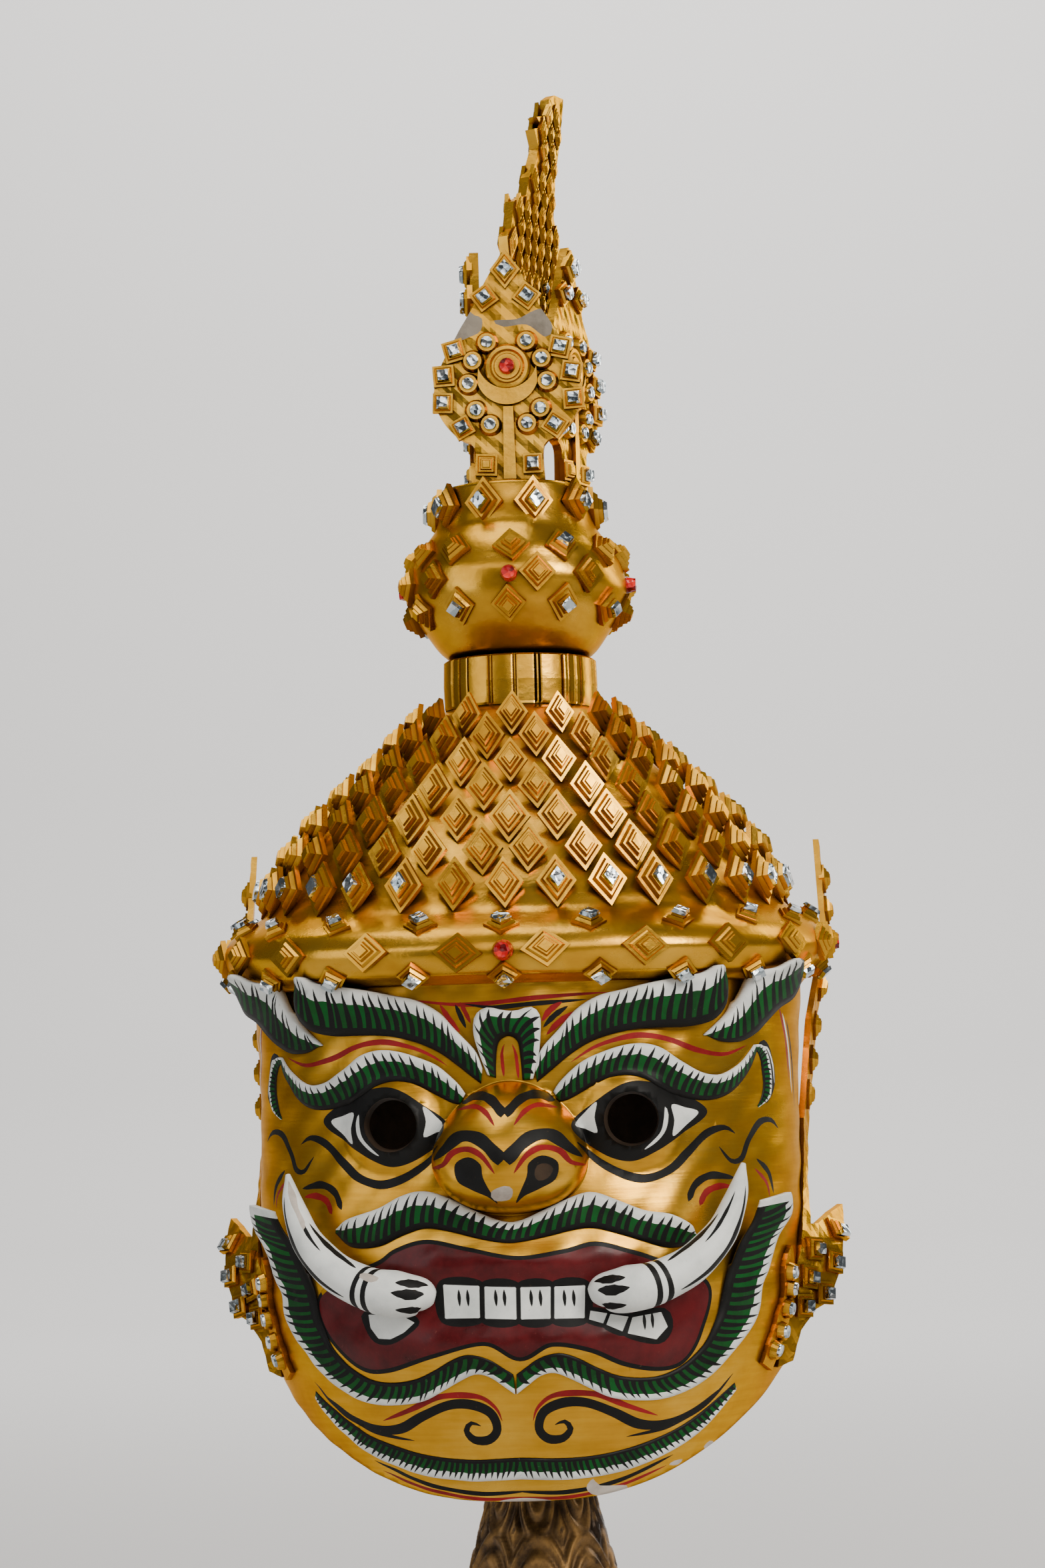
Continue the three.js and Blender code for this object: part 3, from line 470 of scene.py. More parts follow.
MIDDLE_STROKES = [
    (RED, 0.9, (0.3, 0.3), [(613, 1500), (700, 1507), (807, 1496), (913, 1488)]),
    (BLACK, 0.9, (0.3, 0.3), [(697, 1506), (740, 1511), (793, 1506), (880, 1499)]),
    (RED, 1.1, (0.3, 0.3), [(660, 1507), (675, 1530), (690, 1548)]),
    (BLACK, 1.0, (0.3, 0.3), [(650, 1513), (670, 1535), (688, 1552)]),
    (BLACK, 1.0, (0.3, 0.3), [(683, 1507), (690, 1522), (699, 1542)]),
    (RED, 0.9, (0.3, 0.3), [(690, 1503), (698, 1518), (706, 1535)]),
    (RED, 1.2, (0.3, 0.3), [(813, 1532), (825, 1515), (843, 1503)]),
    (BLACK, 1.1, (0.3, 0.3), [(815, 1541), (832, 1523), (852, 1509)]),
    (RED, 1.2, (0.3, 0.3), [(820, 1552), (840, 1532), (863, 1517)]),
    (RED, 0.7, (0.2, 0.4), [(756, 1615), (753, 1580), (757, 1566)]),
    (RED, 0.7, (0.2, 0.4), [(778, 1618), (774, 1582), (768, 1566)]),
]
EYE_OUTLINE = [(857, 1689), (893, 1652), (945, 1622), (1000, 1630), (1061, 1665), (1024, 1700), (985, 1727),
               (945, 1742), (900, 1728)]
EYE_WHITES = [[(863, 1687), (878, 1668), (895, 1653), (892, 1676), (896, 1699), (878, 1693)],
              [(1008, 1657), (1028, 1661), (1048, 1668), (1030, 1687), (1010, 1704), (1012, 1680)],
              [(998, 1660), (1003, 1672), (999, 1695), (985, 1713), (967, 1724), (990, 1700), (996, 1680)]]
NOSTRIL = [(790, 1765), (793, 1745), (813, 1733), (837, 1743), (834, 1768), (812, 1782), (787, 1794),
           (774, 1804)]
NOSTRIL_HOLE_SHADE = [(802, 1762), (806, 1748), (820, 1745), (830, 1753), (822, 1767), (808, 1771)]
NOSE_CHIP = [(737, 1788), (757, 1779), (769, 1784), (765, 1799), (742, 1801)]
MOUTH = [(484, 1943), (520, 1920), (570, 1897), (595, 1879), (640, 1866), (700, 1877), (775, 1890),
         (847, 1880), (893, 1869), (940, 1879), (990, 1895), (1060, 1928), (1050, 1995), (1027, 2037),
         (993, 2050), (940, 2043), (887, 2022), (827, 2014), (780, 2036), (727, 2013), (647, 2032),
         (580, 2053), (540, 2048), (500, 2010), (481, 1970)]
TEETH = [[(665, 1927), (719, 1929), (720, 1977), (668, 1978)],
         [(727, 1930), (774, 1931), (775, 1979), (728, 1978)],
         [(781, 1931), (826, 1930), (826, 1978), (782, 1979)],
         [(832, 1930), (878, 1928), (877, 1977), (832, 1978)],
         [(886, 1966), (911, 1970), (905, 1985), (884, 1979)],
         [(916, 1971), (943, 1975), (934, 1997), (910, 1987)],
         [(949, 1976), (992, 1968), (1002, 1990), (985, 2009), (942, 2000)],
         [(553, 1972), (556, 1992), (568, 2008), (586, 2009), (606, 1999), (622, 1984), (600, 1972)]]
TOOTH_MARKS = [(689, 1947), (702, 1947), (744, 1947), (757, 1947), (797, 1947), (811, 1947), (847, 1947),
               (861, 1947), (967, 1982), (979, 1980)]
RIM_CHIPS = [[(880, 2232), (890, 2218), (900, 2228), (940, 2228), (935, 2238), (895, 2243)],
             [(1004, 2197), (1012, 2191), (1024, 2189), (1017, 2197)],
             [(1056, 2170), (1065, 2161), (1071, 2164), (1061, 2173)],
             [(750, 2252), (790, 2247), (832, 2252), (815, 2260), (770, 2262)]]
LIP_LINE = 1.7
GUM_MARGIN, TOOTH_STEP, TOOTH_ROUNDING, TOOTH_CORNER = 8, 8, 0.14, 0.015
MARK_HALF, MARK_LEAN, MARK_STEP, MARK_WIDTH = 13, 1, 4, 0.75
CLEAR_OF_EDGES = 0.55
SLIVER, SLIVER_LENGTH = 0.004, 3
EYE_POINTS, NOSE_POINTS, RIM_POINTS, SIDE_POINTS, BROW_POINTS, BACK_POINTS, LINING_ROWS = (
    44, 120, 172, 46, 120, 96, 60)
EYE_WALL, EYE_WALL_ROWS, EYE_WALL_TAPER, EYE_CLEAR = 11.0, (0, 0.15, 1), 0.09, 3
# The first gold colour is painted shade for recesses; the others are the lacquer's own tones.
GOLD_COLOURS = [(0.085, 0.030, 0.003, 1), (0.44, 0.185, 0.010, 1), (0.66, 0.335, 0.024, 1),
                (0.84, 0.50, 0.065, 1)]
GOLD_SHEEN = (0.9, 0.58, 0.16, 1)
PAINTS = [
    ("black_lacquer", (0.002, 0.002, 0.002, 1), (0.005, 0.005, 0.005, 1), (0.05, 0.03, 0.015, 1), 0.5),
    ("emerald_paint", (0.0, 0.026, 0.004, 1), (0.0, 0.080, 0.010, 1), (0.03, 0.15, 0.05, 1), 0.5),
    ("chalk_white_paint", (0.56, 0.59, 0.57, 1), (0.78, 0.80, 0.77, 1), (0.40, 0.38, 0.33, 1), 0.45, 0.05),
    ("dark_red_paint", (0.14, 0.004, 0.005, 1), (0.27, 0.008, 0.010, 1), (0.3, 0.1, 0.04, 1), 0.45),
    ("maroon_lip_paint", (0.04, 0.002, 0.003, 1), (0.105, 0.005, 0.007, 1), (0.16, 0.04, 0.03, 1), 0.34, 0.1),
    ("bare_paper", (0.30, 0.25, 0.21, 1), (0.55, 0.49, 0.43, 1), (0.33, 0.17, 0.11, 1), 0.75),
    # The dark inside finish is the raw inside's colour and, in the nostrils, painted shade.
    ("raw_inside_and_nostril_shade", (0.012, 0.008, 0.005, 1), (0.045, 0.028, 0.017, 1), (0.12, 0.08, 0.05, 1), 0.7),
]


def rim_height(across):
    angle = np.clip(np.abs(np.asarray(across, float)) / GIRTH, 0, math.pi / 2)
    return CHIN_RIM + RIM_RISE * np.sin(angle) ** 3


def inside(points, outline):
    """Which points lie inside a closed outline."""
    x, y = points[:, 0], points[:, 1]
    found = np.zeros(len(points), bool)
    for (ax, ay), (bx, by) in zip(outline, np.roll(outline, -1, axis=0)):
        crosses = (ay > y) != (by > y)
        found ^= crosses & (x < (bx - ax) * (y - ay) / (by - ay if by != ay else 1) + ax)
    return found


def painted_sheet(outline, loose, regions, base=GOLD):
    """Cuts a flat sheet along the edges of its painted regions, later ones on top.
    Gives its points, its triangles and the finish of each triangle."""
    points = [tuple(p) for p in outline]
    edges = [(i, (i + 1) % len(points)) for i in range(len(points))]
    marks = list(outline) + [p for region, _ in regions for p in region]
    tree = kdtree.KDTree(len(marks))
    for i, (x, y) in enumerate(marks):
        tree.insert((x, y, 0), i)
    tree.balance()
    for region, _ in regions:
        first = len(points)
        points += [tuple(p) for p in region]
        edges += [(first + i, first + (i + 1) % len(region)) for i in range(len(region))]
    points += [p for p in map(tuple, loose) if tree.find((*p, 0))[2] > CLEAR_OF_EDGES]
    made = geometry.delaunay_2d_cdt([Vector(p) for p in points], edges, [], 0, 1e-4)
    flat = np.array([tuple(p) for p in made[0]])
    triangles = np.array([tuple(f) for f in made[2] if len(f) == 3])
    middle = flat[triangles].mean(1)
    keep = inside(middle, np.asarray(outline))
    triangles, middle = triangles[keep], middle[keep]
    finish = np.full(len(triangles), base)
    for region, paint in regions:
        region = np.asarray(region)
        near = ((middle >= region.min(0)) & (middle <= region.max(0))).all(1)
        hit = np.flatnonzero(near)
        finish[hit[inside(middle[hit], region)]] = paint
    sides = flat[triangles]
    area = np.cross(sides[:, 1] - sides[:, 0], sides[:, 2] - sides[:, 0])
    triangles[area < 0] = triangles[area < 0][:, ::-1]
    longest = np.hypot(*(sides - np.roll(sides, 1, axis=1)).transpose(2, 0, 1)).max(1)
    sound = (np.abs(area) > SLIVER * longest) | (longest < SLIVER_LENGTH)
    return flat, triangles[sound], finish[sound]


def ring(*sides):
    """A closed outline from its sides, each of which ends where the next begins."""
    return np.concatenate([side[:-1] for side in sides])


def both_sides(regions):
    return regions + [(np.asarray(region)[::-1] * [-1, 1], paint) for region, paint in regions]


def shape(pixels, step=STROKE_STEP, closed=True):
    return seen_on_head(flowing(pixels, step, closed))


def painted_strokes(strokes):
    return [(brushed(shape(line, closed=False), width, ends), paint) for paint, width, ends, line in strokes]


half = [(shape(EYE_OUTLINE), BLACK)]
half += [(shape(white), WHITE) for white in EYE_WHITES]
half += painted_strokes(HALF_STROKES)
half += [(shape(NOSTRIL), BLACK)]
regions = both_sides(half) + painted_strokes(MIDDLE_STROKES)
mouth_edge = shape(MOUTH)
regions.append((brushed(np.concatenate([mouth_edge, mouth_edge[:3]]), LIP_LINE, (0, 0)), BLACK))
regions.append((mouth_edge, MAROON))
for tooth in TEETH:
    tooth = np.array(tooth, float)
    away = tooth - tooth.mean(0)
    gum = tooth + away / np.maximum(np.hypot(*away.T), 1)[:, None] * GUM_MARGIN
    regions.append((shape(gum, TOOTH_STEP), BLACK))
for tooth in TEETH:
    tooth = np.array(tooth, float)
    before, after = np.roll(tooth, 1, axis=0), np.roll(tooth, -1, axis=0)
    corners = np.stack([tooth * (1 - TOOTH_ROUNDING) + before * TOOTH_ROUNDING,
                        tooth * (1 - TOOTH_CORNER) + tooth.mean(0) * TOOTH_CORNER,
                        tooth * (1 - TOOTH_ROUNDING) + after * TOOTH_ROUNDING], 1)
    regions.append((shape(corners.reshape(-1, 2), TOOTH_STEP), WHITE))
for x, y in TOOTH_MARKS:
    mark = [(x - MARK_LEAN, y - MARK_HALF), (x, y), (x + MARK_LEAN, y + MARK_HALF)]
    regions.append((brushed(shape(mark, MARK_STEP, False), MARK_WIDTH, (0.5, 0.5)), BLACK))
# The nostril holes are not cut: each is painted with the dark inside finish as painted shade.
regions.append((shape(NOSTRIL_HOLE_SHADE), SHADE))
regions.append((shape(NOSE_CHIP), PAPER))
regions += [(shape(chip), PAPER) for chip in RIM_CHIPS]


def at_front(x, z, reach_of=face_reach):
    """Place on the face, round its girth, that lies at this distance from its middle plane."""
    angle = np.asarray(x, float) / GIRTH
    for _ in range(FRONT_TRIES):
        angle = np.arcsin(np.clip(x / reach_of(angle, z), -1, 1))
    return points_of(angle * GIRTH, z)


around = np.arange(EYE_POINTS) * 2 * math.pi / EYE_POINTS
eye_ring = at_front(EYE_X + EYE_HOLE * np.cos(around), EYE_Z + EYE_HOLE * np.sin(around))
regions += both_sides([(eye_ring, CUT)])

edge = FACE_EDGE * GIRTH
edge_heights = np.linspace(float(rim_height(edge)), BROW_LINE, SIDE_POINTS)
bottom = np.linspace(-edge, edge, RIM_POINTS)
outline = ring(points_of(bottom, rim_height(bottom)), points_of(edge, edge_heights),
               points_of(np.linspace(edge, -edge, BROW_POINTS), BROW_LINE),
               points_of(-edge, edge_heights[::-1]))


def nose_share_at(x, z):
    """How far out from the nose's middle a place lies: 1 on the crease round the nose."""
    rise = (z - NOSE_Z) / NOSE_HALF_HEIGHT
    return np.hypot(x / NOSE_HALF_WIDTH / (1 - NOSE_TAPER * rise), rise)


grid = np.stack(np.meshgrid(np.arange(-edge, edge, FACE_GRID), np.arange(CHIN_RIM, BROW_LINE, FACE_GRID)), -1)
across, height = grid.reshape(-1, 2).T
share = nose_share_at(head_reach(across / GIRTH, height) * np.sin(across / GIRTH), height)
clear = (height > rim_height(across) + 1) & (np.abs(across) < edge - 1) & (height < BROW_LINE - 1)
clear &= (share < NOSE_RINGS[0] - 0.03) | (share > NOSE_RINGS[-1] + 0.03)
grid = [points_of(across, height)[clear]]
turns = np.arange(NOSE_POINTS) * 2 * math.pi / NOSE_POINTS
for share in NOSE_RINGS:
    rise = share * np.sin(turns)
    aside = NOSE_HALF_WIDTH * share * np.cos(turns) * (1 - NOSE_TAPER * rise)
    grid.append(at_front(aside, NOSE_Z + NOSE_HALF_HEIGHT * rise, head_reach))
grid = np.concatenate(grid)
flat, triangles, finish = painted_sheet(outline, grid, regions)
triangles, finish = triangles[finish != CUT], finish[finish != CUT]
head_points = [on_head(flat[:, 0], flat[:, 1])]
head_faces = [tuple(t) for t in triangles]
head_finish = list(finish)


def add_grid(points, faces, finishes, rows, finish, flip=False):
    """Adds a sheet of quads through rows of points."""
    first = sum(len(p) for p in points)
    rows = np.asarray(rows, float)
    points.append(rows.reshape(-1, 3))
    high, wide = rows.shape[:2]
    for i in range(high - 1):
        for j in range(wide - 1):
            a = first + i * wide + j
            quad = (a, a + 1, a + wide + 1, a + wide)
            faces.append(quad[::-1] if flip else quad)
            finishes.append(finish)


back = np.linspace(edge, 2 * math.pi * GIRTH - edge, BACK_POINTS)
add_grid(head_points, head_faces, head_finish, [on_head(back, 0 * back + z) for z in edge_heights], GOLD)
girdle = np.concatenate([bottom, back[1:]])
girdle_rim = rim_height(np.minimum(girdle, 2 * math.pi * GIRTH - girdle))


def inner_wall(across, height):
    angle = across / GIRTH
    return about_axis(head_reach(angle, height) - WALL, angle, height)


lip = [on_head(girdle, girdle_rim), inner_wall(girdle, girdle_rim)]
add_grid(head_points, head_faces, head_finish, lip, PAPER, True)
lining = [inner_wall(girdle, girdle_rim + (BROW_LINE - girdle_rim) * t)
          for t in np.linspace(0, 1, LINING_ROWS)]
before = len(head_faces)
add_grid(head_points, head_faces, head_finish, lining, SHADE, True)
every = np.concatenate(head_points)
middles = np.array([every[list(face)].mean(0) for face in head_faces[before:]])
apart = np.hypot(np.abs(middles[:, 0]) - EYE_X, middles[:, 2] - EYE_Z - MASK_ZERO)
kept = (apart >= EYE_HOLE + EYE_CLEAR) | (middles[:, 1] >= 0)
head_faces[before:] = [face for face, stays in zip(head_faces[before:], kept) if stays]
head_finish[before:] = [SHADE] * int(kept.sum())
for side in (-1, 1):
    hole = np.append(eye_ring, eye_ring[:1], axis=0) * [side, 1]
    hole = on_head(hole[:, 0], hole[:, 1])
    inwards = (hole - hole.mean(0)) * [EYE_WALL_TAPER, 0, EYE_WALL_TAPER]
    sleeve = [hole + [0, EYE_WALL * t, 0] - inwards * t for t in EYE_WALL_ROWS]
    add_grid(head_points, head_faces, head_finish, sleeve, SHADE, side > 0)


def gilt(name, streaks, colours, roughness, lumps=0.0004, reach=0.006):
    """Gold lacquer laid on with a brush: streaked and uneven, browner where it lies thin, with painted shade
    that browns it in recesses.
    """
    material, tree, shader = new_material(name, colours[1], roughness[0], 0.96)
    place = node(tree, "TexCoord").outputs["Object"]
    streak = noise(tree, node(tree, "Mapping", Vector=place, Scale=streaks).outputs[0], 1.0, 6.0, 0.6)
    cloud = noise(tree, place, 26.0, 5.0, 0.6)
    grain = noise(tree, place, 420.0, 3.0)
    mixed = node(tree, "Mix", {"data_type": "FLOAT"}, _0=0.66, _2=streak, _3=cloud).outputs[0]
    tone = ramp(tree, mixed, [(0.25, colours[1]), (0.5, colours[2]), (0.75, colours[3])])
    # Painted shade: recesses, found by ambient occlusion, are mixed toward the first, darkest gold colour.
    recess_shaded = node(tree, "Mix", {"data_type": "RGBA"}, _0=painted_recess_shade(tree, reach, 0.35, 0.9), _6=colours[0], _7=tone)
    brushwork = bump(tree, 0.22, 0.0005, streak)
    dimples = bump(tree, 0.5, lumps, cloud, Normal=brushwork)
    feed(shader, Base_Color=recess_shaded.outputs[2],
         Roughness=spread(tree, mixed, 0.3, 0.7, roughness[1], roughness[0]),
         Normal=bump(tree, 0.12, 0.0002, grain, Normal=dimples),
         Specular_Tint=GOLD_SHEEN, Coat_Weight=0.05, Coat_Roughness=0.25)
    return material


def enamel(name, deep, body, worn, roughness, coat=0.0):
    """Hand-brushed paint: uneven in depth, with fine specks where it has rubbed thin."""
    material, tree, shader = new_material(name, body, roughness)
    place = node(tree, "TexCoord").outputs["Object"]
    cloud = noise(tree, place, 60.0, 6.0, 0.65)
    specks = noise(tree, place, 520.0, 4.0, 0.7)
    tone = ramp(tree, cloud, [(0.3, deep), (0.6, body)])
    rubbed = ramp(tree, specks, [(0.66, grey(0)), (0.76, grey(1))])
    mixed = node(tree, "Mix", {"data_type": "RGBA"}, _0=rubbed, _6=tone, _7=worn)
    feed(shader, Base_Color=mixed.outputs[2],
         Roughness=spread(tree, cloud, 0.3, 0.7, roughness - 0.08, roughness + 0.12),
         Normal=bump(tree, 0.15, 0.0002, specks, Normal=bump(tree, 0.3, 0.0004, cloud)),
         Specular_IOR_Level=0.2, Coat_Weight=coat, Coat_Roughness=0.18)
    return material


face_finishes = [gilt("brushed_gold_lacquer", (30, 30, 420), GOLD_COLOURS, (0.25, 0.38))]
face_finishes += [enamel(*paint) for paint in PAINTS]
head = mesh_object("painted_head", np.concatenate(head_points), head_faces, face_finishes, head_finish)


def weld(piece, reach=0.01, turn_faces=False):
    """Closes the seams of a piece where its points meet, within a reach in millimetres, and may turn its
    faces outwards."""
    work = bmesh.new()
    work.from_mesh(piece.data)
    bmesh.ops.remove_doubles(work, verts=work.verts, dist=reach * MM)
    if turn_faces:
        bmesh.ops.recalc_face_normals(work, faces=work.faces)
    work.to_mesh(piece.data)
    work.free()


weld(head)
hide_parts("mask_shell")
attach(head, "root")


# Painted bands: the brows, eyebrows and their tails, moustache, lip frill and chin frill are strips of
# pressed paper glued on, some with free outer ends; each is green, edged in white, with a row of black hairs.
# Each is given by the photograph's pixels along its white edge and along its dark edge.
BANDS = [
    ("upper_brow", True, 5.5, 0.33, (0, 0, 0, 1, 4, 10),
     [(803, 1600), (813, 1573), (840, 1543), (867, 1513), (900, 1493), (940, 1483), (980, 1473), (1020, 1465),
      (1053, 1459), (1077, 1448), (1091, 1447)],
     [(806, 1623), (822, 1610), (853, 1584), (882, 1565), (915, 1552), (950, 1544), (990, 1541), (1030, 1540),
      (1066, 1530), (1088, 1505), (1094, 1470)]),
    ("outer_brow", True, 4.5, 0.34, (0, 1, 4, 8, 13),
     [(1062, 1552), (1080, 1537), (1100, 1517), (1117, 1487), (1129, 1463), (1147, 1455), (1173, 1450),
      (1197, 1438), (1208, 1437)],
     [(1063, 1554), (1085, 1562), (1112, 1562), (1135, 1549), (1152, 1530), (1170, 1512), (1190, 1497),
      (1203, 1470), (1209, 1441)]),
    ("eyebrow", True, 3.0, 0.34, (0, 0),
     [(831, 1637), (843, 1620), (873, 1593), (907, 1577), (940, 1567), (967, 1565), (993, 1572), (1020, 1590),
      (1053, 1608), (1080, 1612), (1100, 1605), (1120, 1590), (1137, 1567)],
     [(840, 1653), (856, 1648), (884, 1632), (912, 1617), (940, 1612), (967, 1617), (990, 1630), (1015, 1642),
      (1050, 1650), (1080, 1647), (1104, 1633), (1126, 1604), (1139, 1570)]),
    ("eyebrow_tail", True, 1.4, 0.34, (0, 0),
     [(1134, 1567), (1144, 1567), (1151, 1577), (1156, 1598), (1158, 1624), (1155, 1647), (1141, 1661)],
     [(1136, 1577), (1139, 1582), (1142, 1592), (1144, 1607), (1146, 1627), (1143, 1645), (1137, 1659)]),
    ("moustache", False, 4.0, 0.36, (0, 0),
     [(500, 1843), (520, 1829), (567, 1813), (600, 1795), (633, 1787), (673, 1798), (713, 1817), (753, 1832),
      (780, 1831), (820, 1813), (860, 1795), (890, 1788), (927, 1800), (967, 1815), (1007, 1821),
      (1040, 1837), (1048, 1850)],
     [(502, 1850), (527, 1871), (567, 1870), (602, 1854), (636, 1843), (673, 1847), (713, 1857), (753, 1864),
      (780, 1863), (820, 1855), (860, 1845), (892, 1842), (927, 1850), (964, 1861), (1000, 1871),
      (1030, 1868), (1048, 1855)]),
    ("lip_frill", True, 4.0, 0.28, (0, 0, 0, 0, 0, 0, 0, 1, 5, 12),
     [(775, 2092), (793, 2078), (812, 2064), (833, 2060), (860, 2070), (887, 2083), (920, 2097), (960, 2101),
      (1000, 2098), (1040, 2083), (1073, 2060), (1100, 2030), (1127, 1993), (1139, 1963), (1143, 1930),
      (1152, 1900), (1163, 1857), (1178, 1823), (1185, 1804), (1188, 1788)],
     [(775, 2062), (790, 2051), (809, 2038), (838, 2030), (866, 2037), (893, 2050), (926, 2063), (962, 2067),
      (994, 2063), (1022, 2050), (1045, 2031), (1062, 2010), (1076, 1977), (1083, 1950), (1090, 1922),
      (1098, 1895), (1109, 1864), (1124, 1832), (1134, 1815), (1143, 1800)]),
    ("forehead_loop", False, 4.0, 0.30, (0, 0),
     [(730, 1612), (718, 1580), (710, 1550), (713, 1523), (730, 1511), (753, 1515), (773, 1516), (797, 1510),
      (810, 1523), (811, 1553), (808, 1583), (800, 1618)],
     [(744, 1617), (744, 1594), (745, 1575), (748, 1563), (754, 1557), (761, 1554), (768, 1555), (774, 1559),
      (778, 1566), (780, 1580), (782, 1597), (784, 1620)]),
    ("chin_frill", True, 1.6, 0.38, (0, 0),
     [(780, 2219), (860, 2219), (940, 2205), (1010, 2175), (1060, 2139), (1106, 2086)],
     [(780, 2187), (860, 2187), (930, 2176), (1000, 2151), (1050, 2120), (1103, 2074)]),
]
BAND_ROWS, BAND_STEP, BAND_GRID, BAND_LINES, BAND_END_POINTS, BAND_CURVE = 90, 1.6, 1.7, 9, 8, 10
BAND_FOOT, BAND_CREST, BAND_ROLL, BAND_ROLL_FROM, BAND_NARROWEST = 0.12, 0.8, 0.25, 0.86, 0.25
BAND_SINK, FREE_FROM, FREE_THICK = 1.5, 2, 0.6
DARK_EDGE, END_WHITE = 0.17, 3.2
WHITE_WAVER, WHITE_WAVES = 0.25, 0.9
HAIR_PITCH, HAIR_FULL_WIDTH, HAIR_END, HAIR_CLEAR = 3.8, 12, 1.5, 0.1
HAIR_LEAN, HAIR_REACH, HAIR_FOOT, HAIR_UNEVEN = (0.16, 0.32), (0.88, 1.0), (0.26, 0.33), (0.85, 1.15)
HAIR_POINTS, HAIR_BEND, HAIR_TAPER, HAIR_POINT = 7, 1.6, 2.8, 0.06


def edges_of(white_edge, dark_edge, rise, lifts):
    """The band's two edges on the face, as facing pairs of points spaced evenly along its middle."""
    both = np.concatenate([np.array(white_edge, float), np.array(dark_edge, float)], axis=1)
    fine = []
    for i in range(len(both) - 1):
        a, b, c, d = (both[min(max(i + k, 0), len(both) - 1)] for k in (-1, 0, 1, 2))
        fine += [bend(a, b, c, d, t) for t in np.arange(BAND_CURVE) / BAND_CURVE]
    fine = np.array(fine + [both[-1]])
    free = np.interp(np.linspace(0, 1, len(fine)), np.linspace(0, 1, len(lifts)), lifts)
    white = seen_on_head(fine[:, :2], free + 0.7 * rise, 0.0)
    dark = seen_on_head(fine[:, 2:], free + 0.15 * rise, 0.0)
    middle = (white + dark) / 2
    run = np.r_[0, np.cumsum(np.hypot(*np.diff(middle, axis=0).T))]
    at = np.linspace(0, run[-1], BAND_ROWS)
    white, dark = (points_of(*(np.interp(at, run, values) for values in line.T)) for line in (white, dark))
    return white, dark, float(run[-1])


def closed_strip(triangles, finish, front, behind):
    """A solid strip: its painted front, its back, and walls along its edges in the front's paint."""
    points = np.concatenate([front, behind])
    count = len(front)
    faces = [tuple(t) for t in triangles] + [tuple(t[::-1] + count) for t in triangles]
    paints = list(finish) * 2
    owner = {}
    for t, paint in zip(triangles, finish):
        owner.update({(a, b): paint for a, b in zip(t, np.roll(t, -1))})
    for (a, b), paint in owner.items():
        if (b, a) not in owner:
            faces.append((b, a, a + count, b + count))
            paints.append(paint)
    return points, faces, paints


def reader(row, count):
    """A function that reads any table of so many rows at these rows and between them."""
    low = np.minimum(row.astype(int), count - 2)
    part = (row - low)[:, None]
    return lambda table: table[low] * (1 - part) + table[low + 1] * part


def painted_band(white_edge, dark_edge, rise, white_share, lifts, side, seed):
    """One strip on the face. It is flat at its dark edge and stands up towards its white edge."""
    chance = random.Random(seed)
    white, dark, long = edges_of(white_edge, dark_edge, rise, lifts)
    breadth = np.hypot(*(white - dark).T)
    wide = float(np.percentile(breadth, 80))
    run = np.linspace(0, long, max(8, round(long / BAND_STEP)))
    far_end = points_of(long, np.linspace(0, wide, BAND_END_POINTS))
    edge = ring(points_of(run, 0), far_end, points_of(run[::-1], wide),
                points_of(0, np.linspace(wide, 0, BAND_END_POINTS)))
    loose = np.stack(np.meshgrid(np.arange(1, long - 0.5, BAND_GRID),
                                 np.linspace(0, wide, BAND_LINES)[1:-1]), -1)
    white_from = wide * (1 - white_share) + WHITE_WAVER * np.sin(run * WHITE_WAVES)
    regions = [(between(points_of(run, white_from), points_of(run, wide)), WHITE),
               (between(points_of(run, 0), points_of(run, wide * DARK_EDGE)), BLACK)]
    pitch = HAIR_PITCH * min(1, max(0.5, wide / HAIR_FULL_WIDTH))
    low = DARK_EDGE * 0.8 * wide
    t = np.linspace(0, 1, HAIR_POINTS)
    at = pitch * 0.5
    while at < long - HAIR_END:
        lean = chance.uniform(*HAIR_LEAN) * wide
        reach = chance.uniform(*HAIR_REACH) * wide
        foot = chance.uniform(*HAIR_FOOT) * pitch
        spine = points_of(np.minimum(at + lean * t ** HAIR_BEND, long - HAIR_CLEAR), low + (reach - low) * t)
        half_width = points_of(foot * np.maximum(1 - t ** HAIR_TAPER, HAIR_POINT), 0)
        hair = between(spine - half_width, spine + half_width)
        regions.append((np.clip(hair, HAIR_CLEAR, [long - HAIR_CLEAR, wide - HAIR_CLEAR]), BLACK))
        at += pitch * chance.uniform(*HAIR_UNEVEN)
    if breadth[-1] > 0.5 * wide:
        regions.append((between(far_end - [END_WHITE, 0], far_end), WHITE))
    flat, triangles, finish = painted_sheet(edge, loose.reshape(-1, 2), regions, GREEN)
    t, q = flat[:, 0] / long, flat[:, 1] / wide
    read = reader(t * (BAND_ROWS - 1), BAND_ROWS)
    place = (read(dark) * (1 - q)[:, None] + read(white) * q[:, None]) * [side, 1]
    free = np.interp(t, np.linspace(0, 1, len(lifts)), lifts)
    narrow = np.clip(read(breadth[:, None])[:, 0] / wide, BAND_NARROWEST, 1)
    rolled = np.clip((q - BAND_ROLL_FROM) / (1 - BAND_ROLL_FROM), 0, 1) ** 2
    swell = BAND_FOOT + (1 - BAND_FOOT) * np.clip(q / BAND_CREST, 0, 1) ** 0.8
    swell = rise * narrow * swell * (1 - BAND_ROLL * rolled)
    front = on_head(*place.T, free + swell, 0.0)
    behind = on_head(*place.T, np.where(free > FREE_FROM, free - FREE_THICK, -BAND_SINK), 0.0)
    corners = front[triangles]
    normals = np.cross(corners[:, 1] - corners[:, 0], corners[:, 2] - corners[:, 0])
    if (normals[:, :2] * corners.mean(1)[:, :2]).sum() < 0:
        triangles = triangles[:, ::-1]
    return closed_strip(triangles, finish, front, behind)


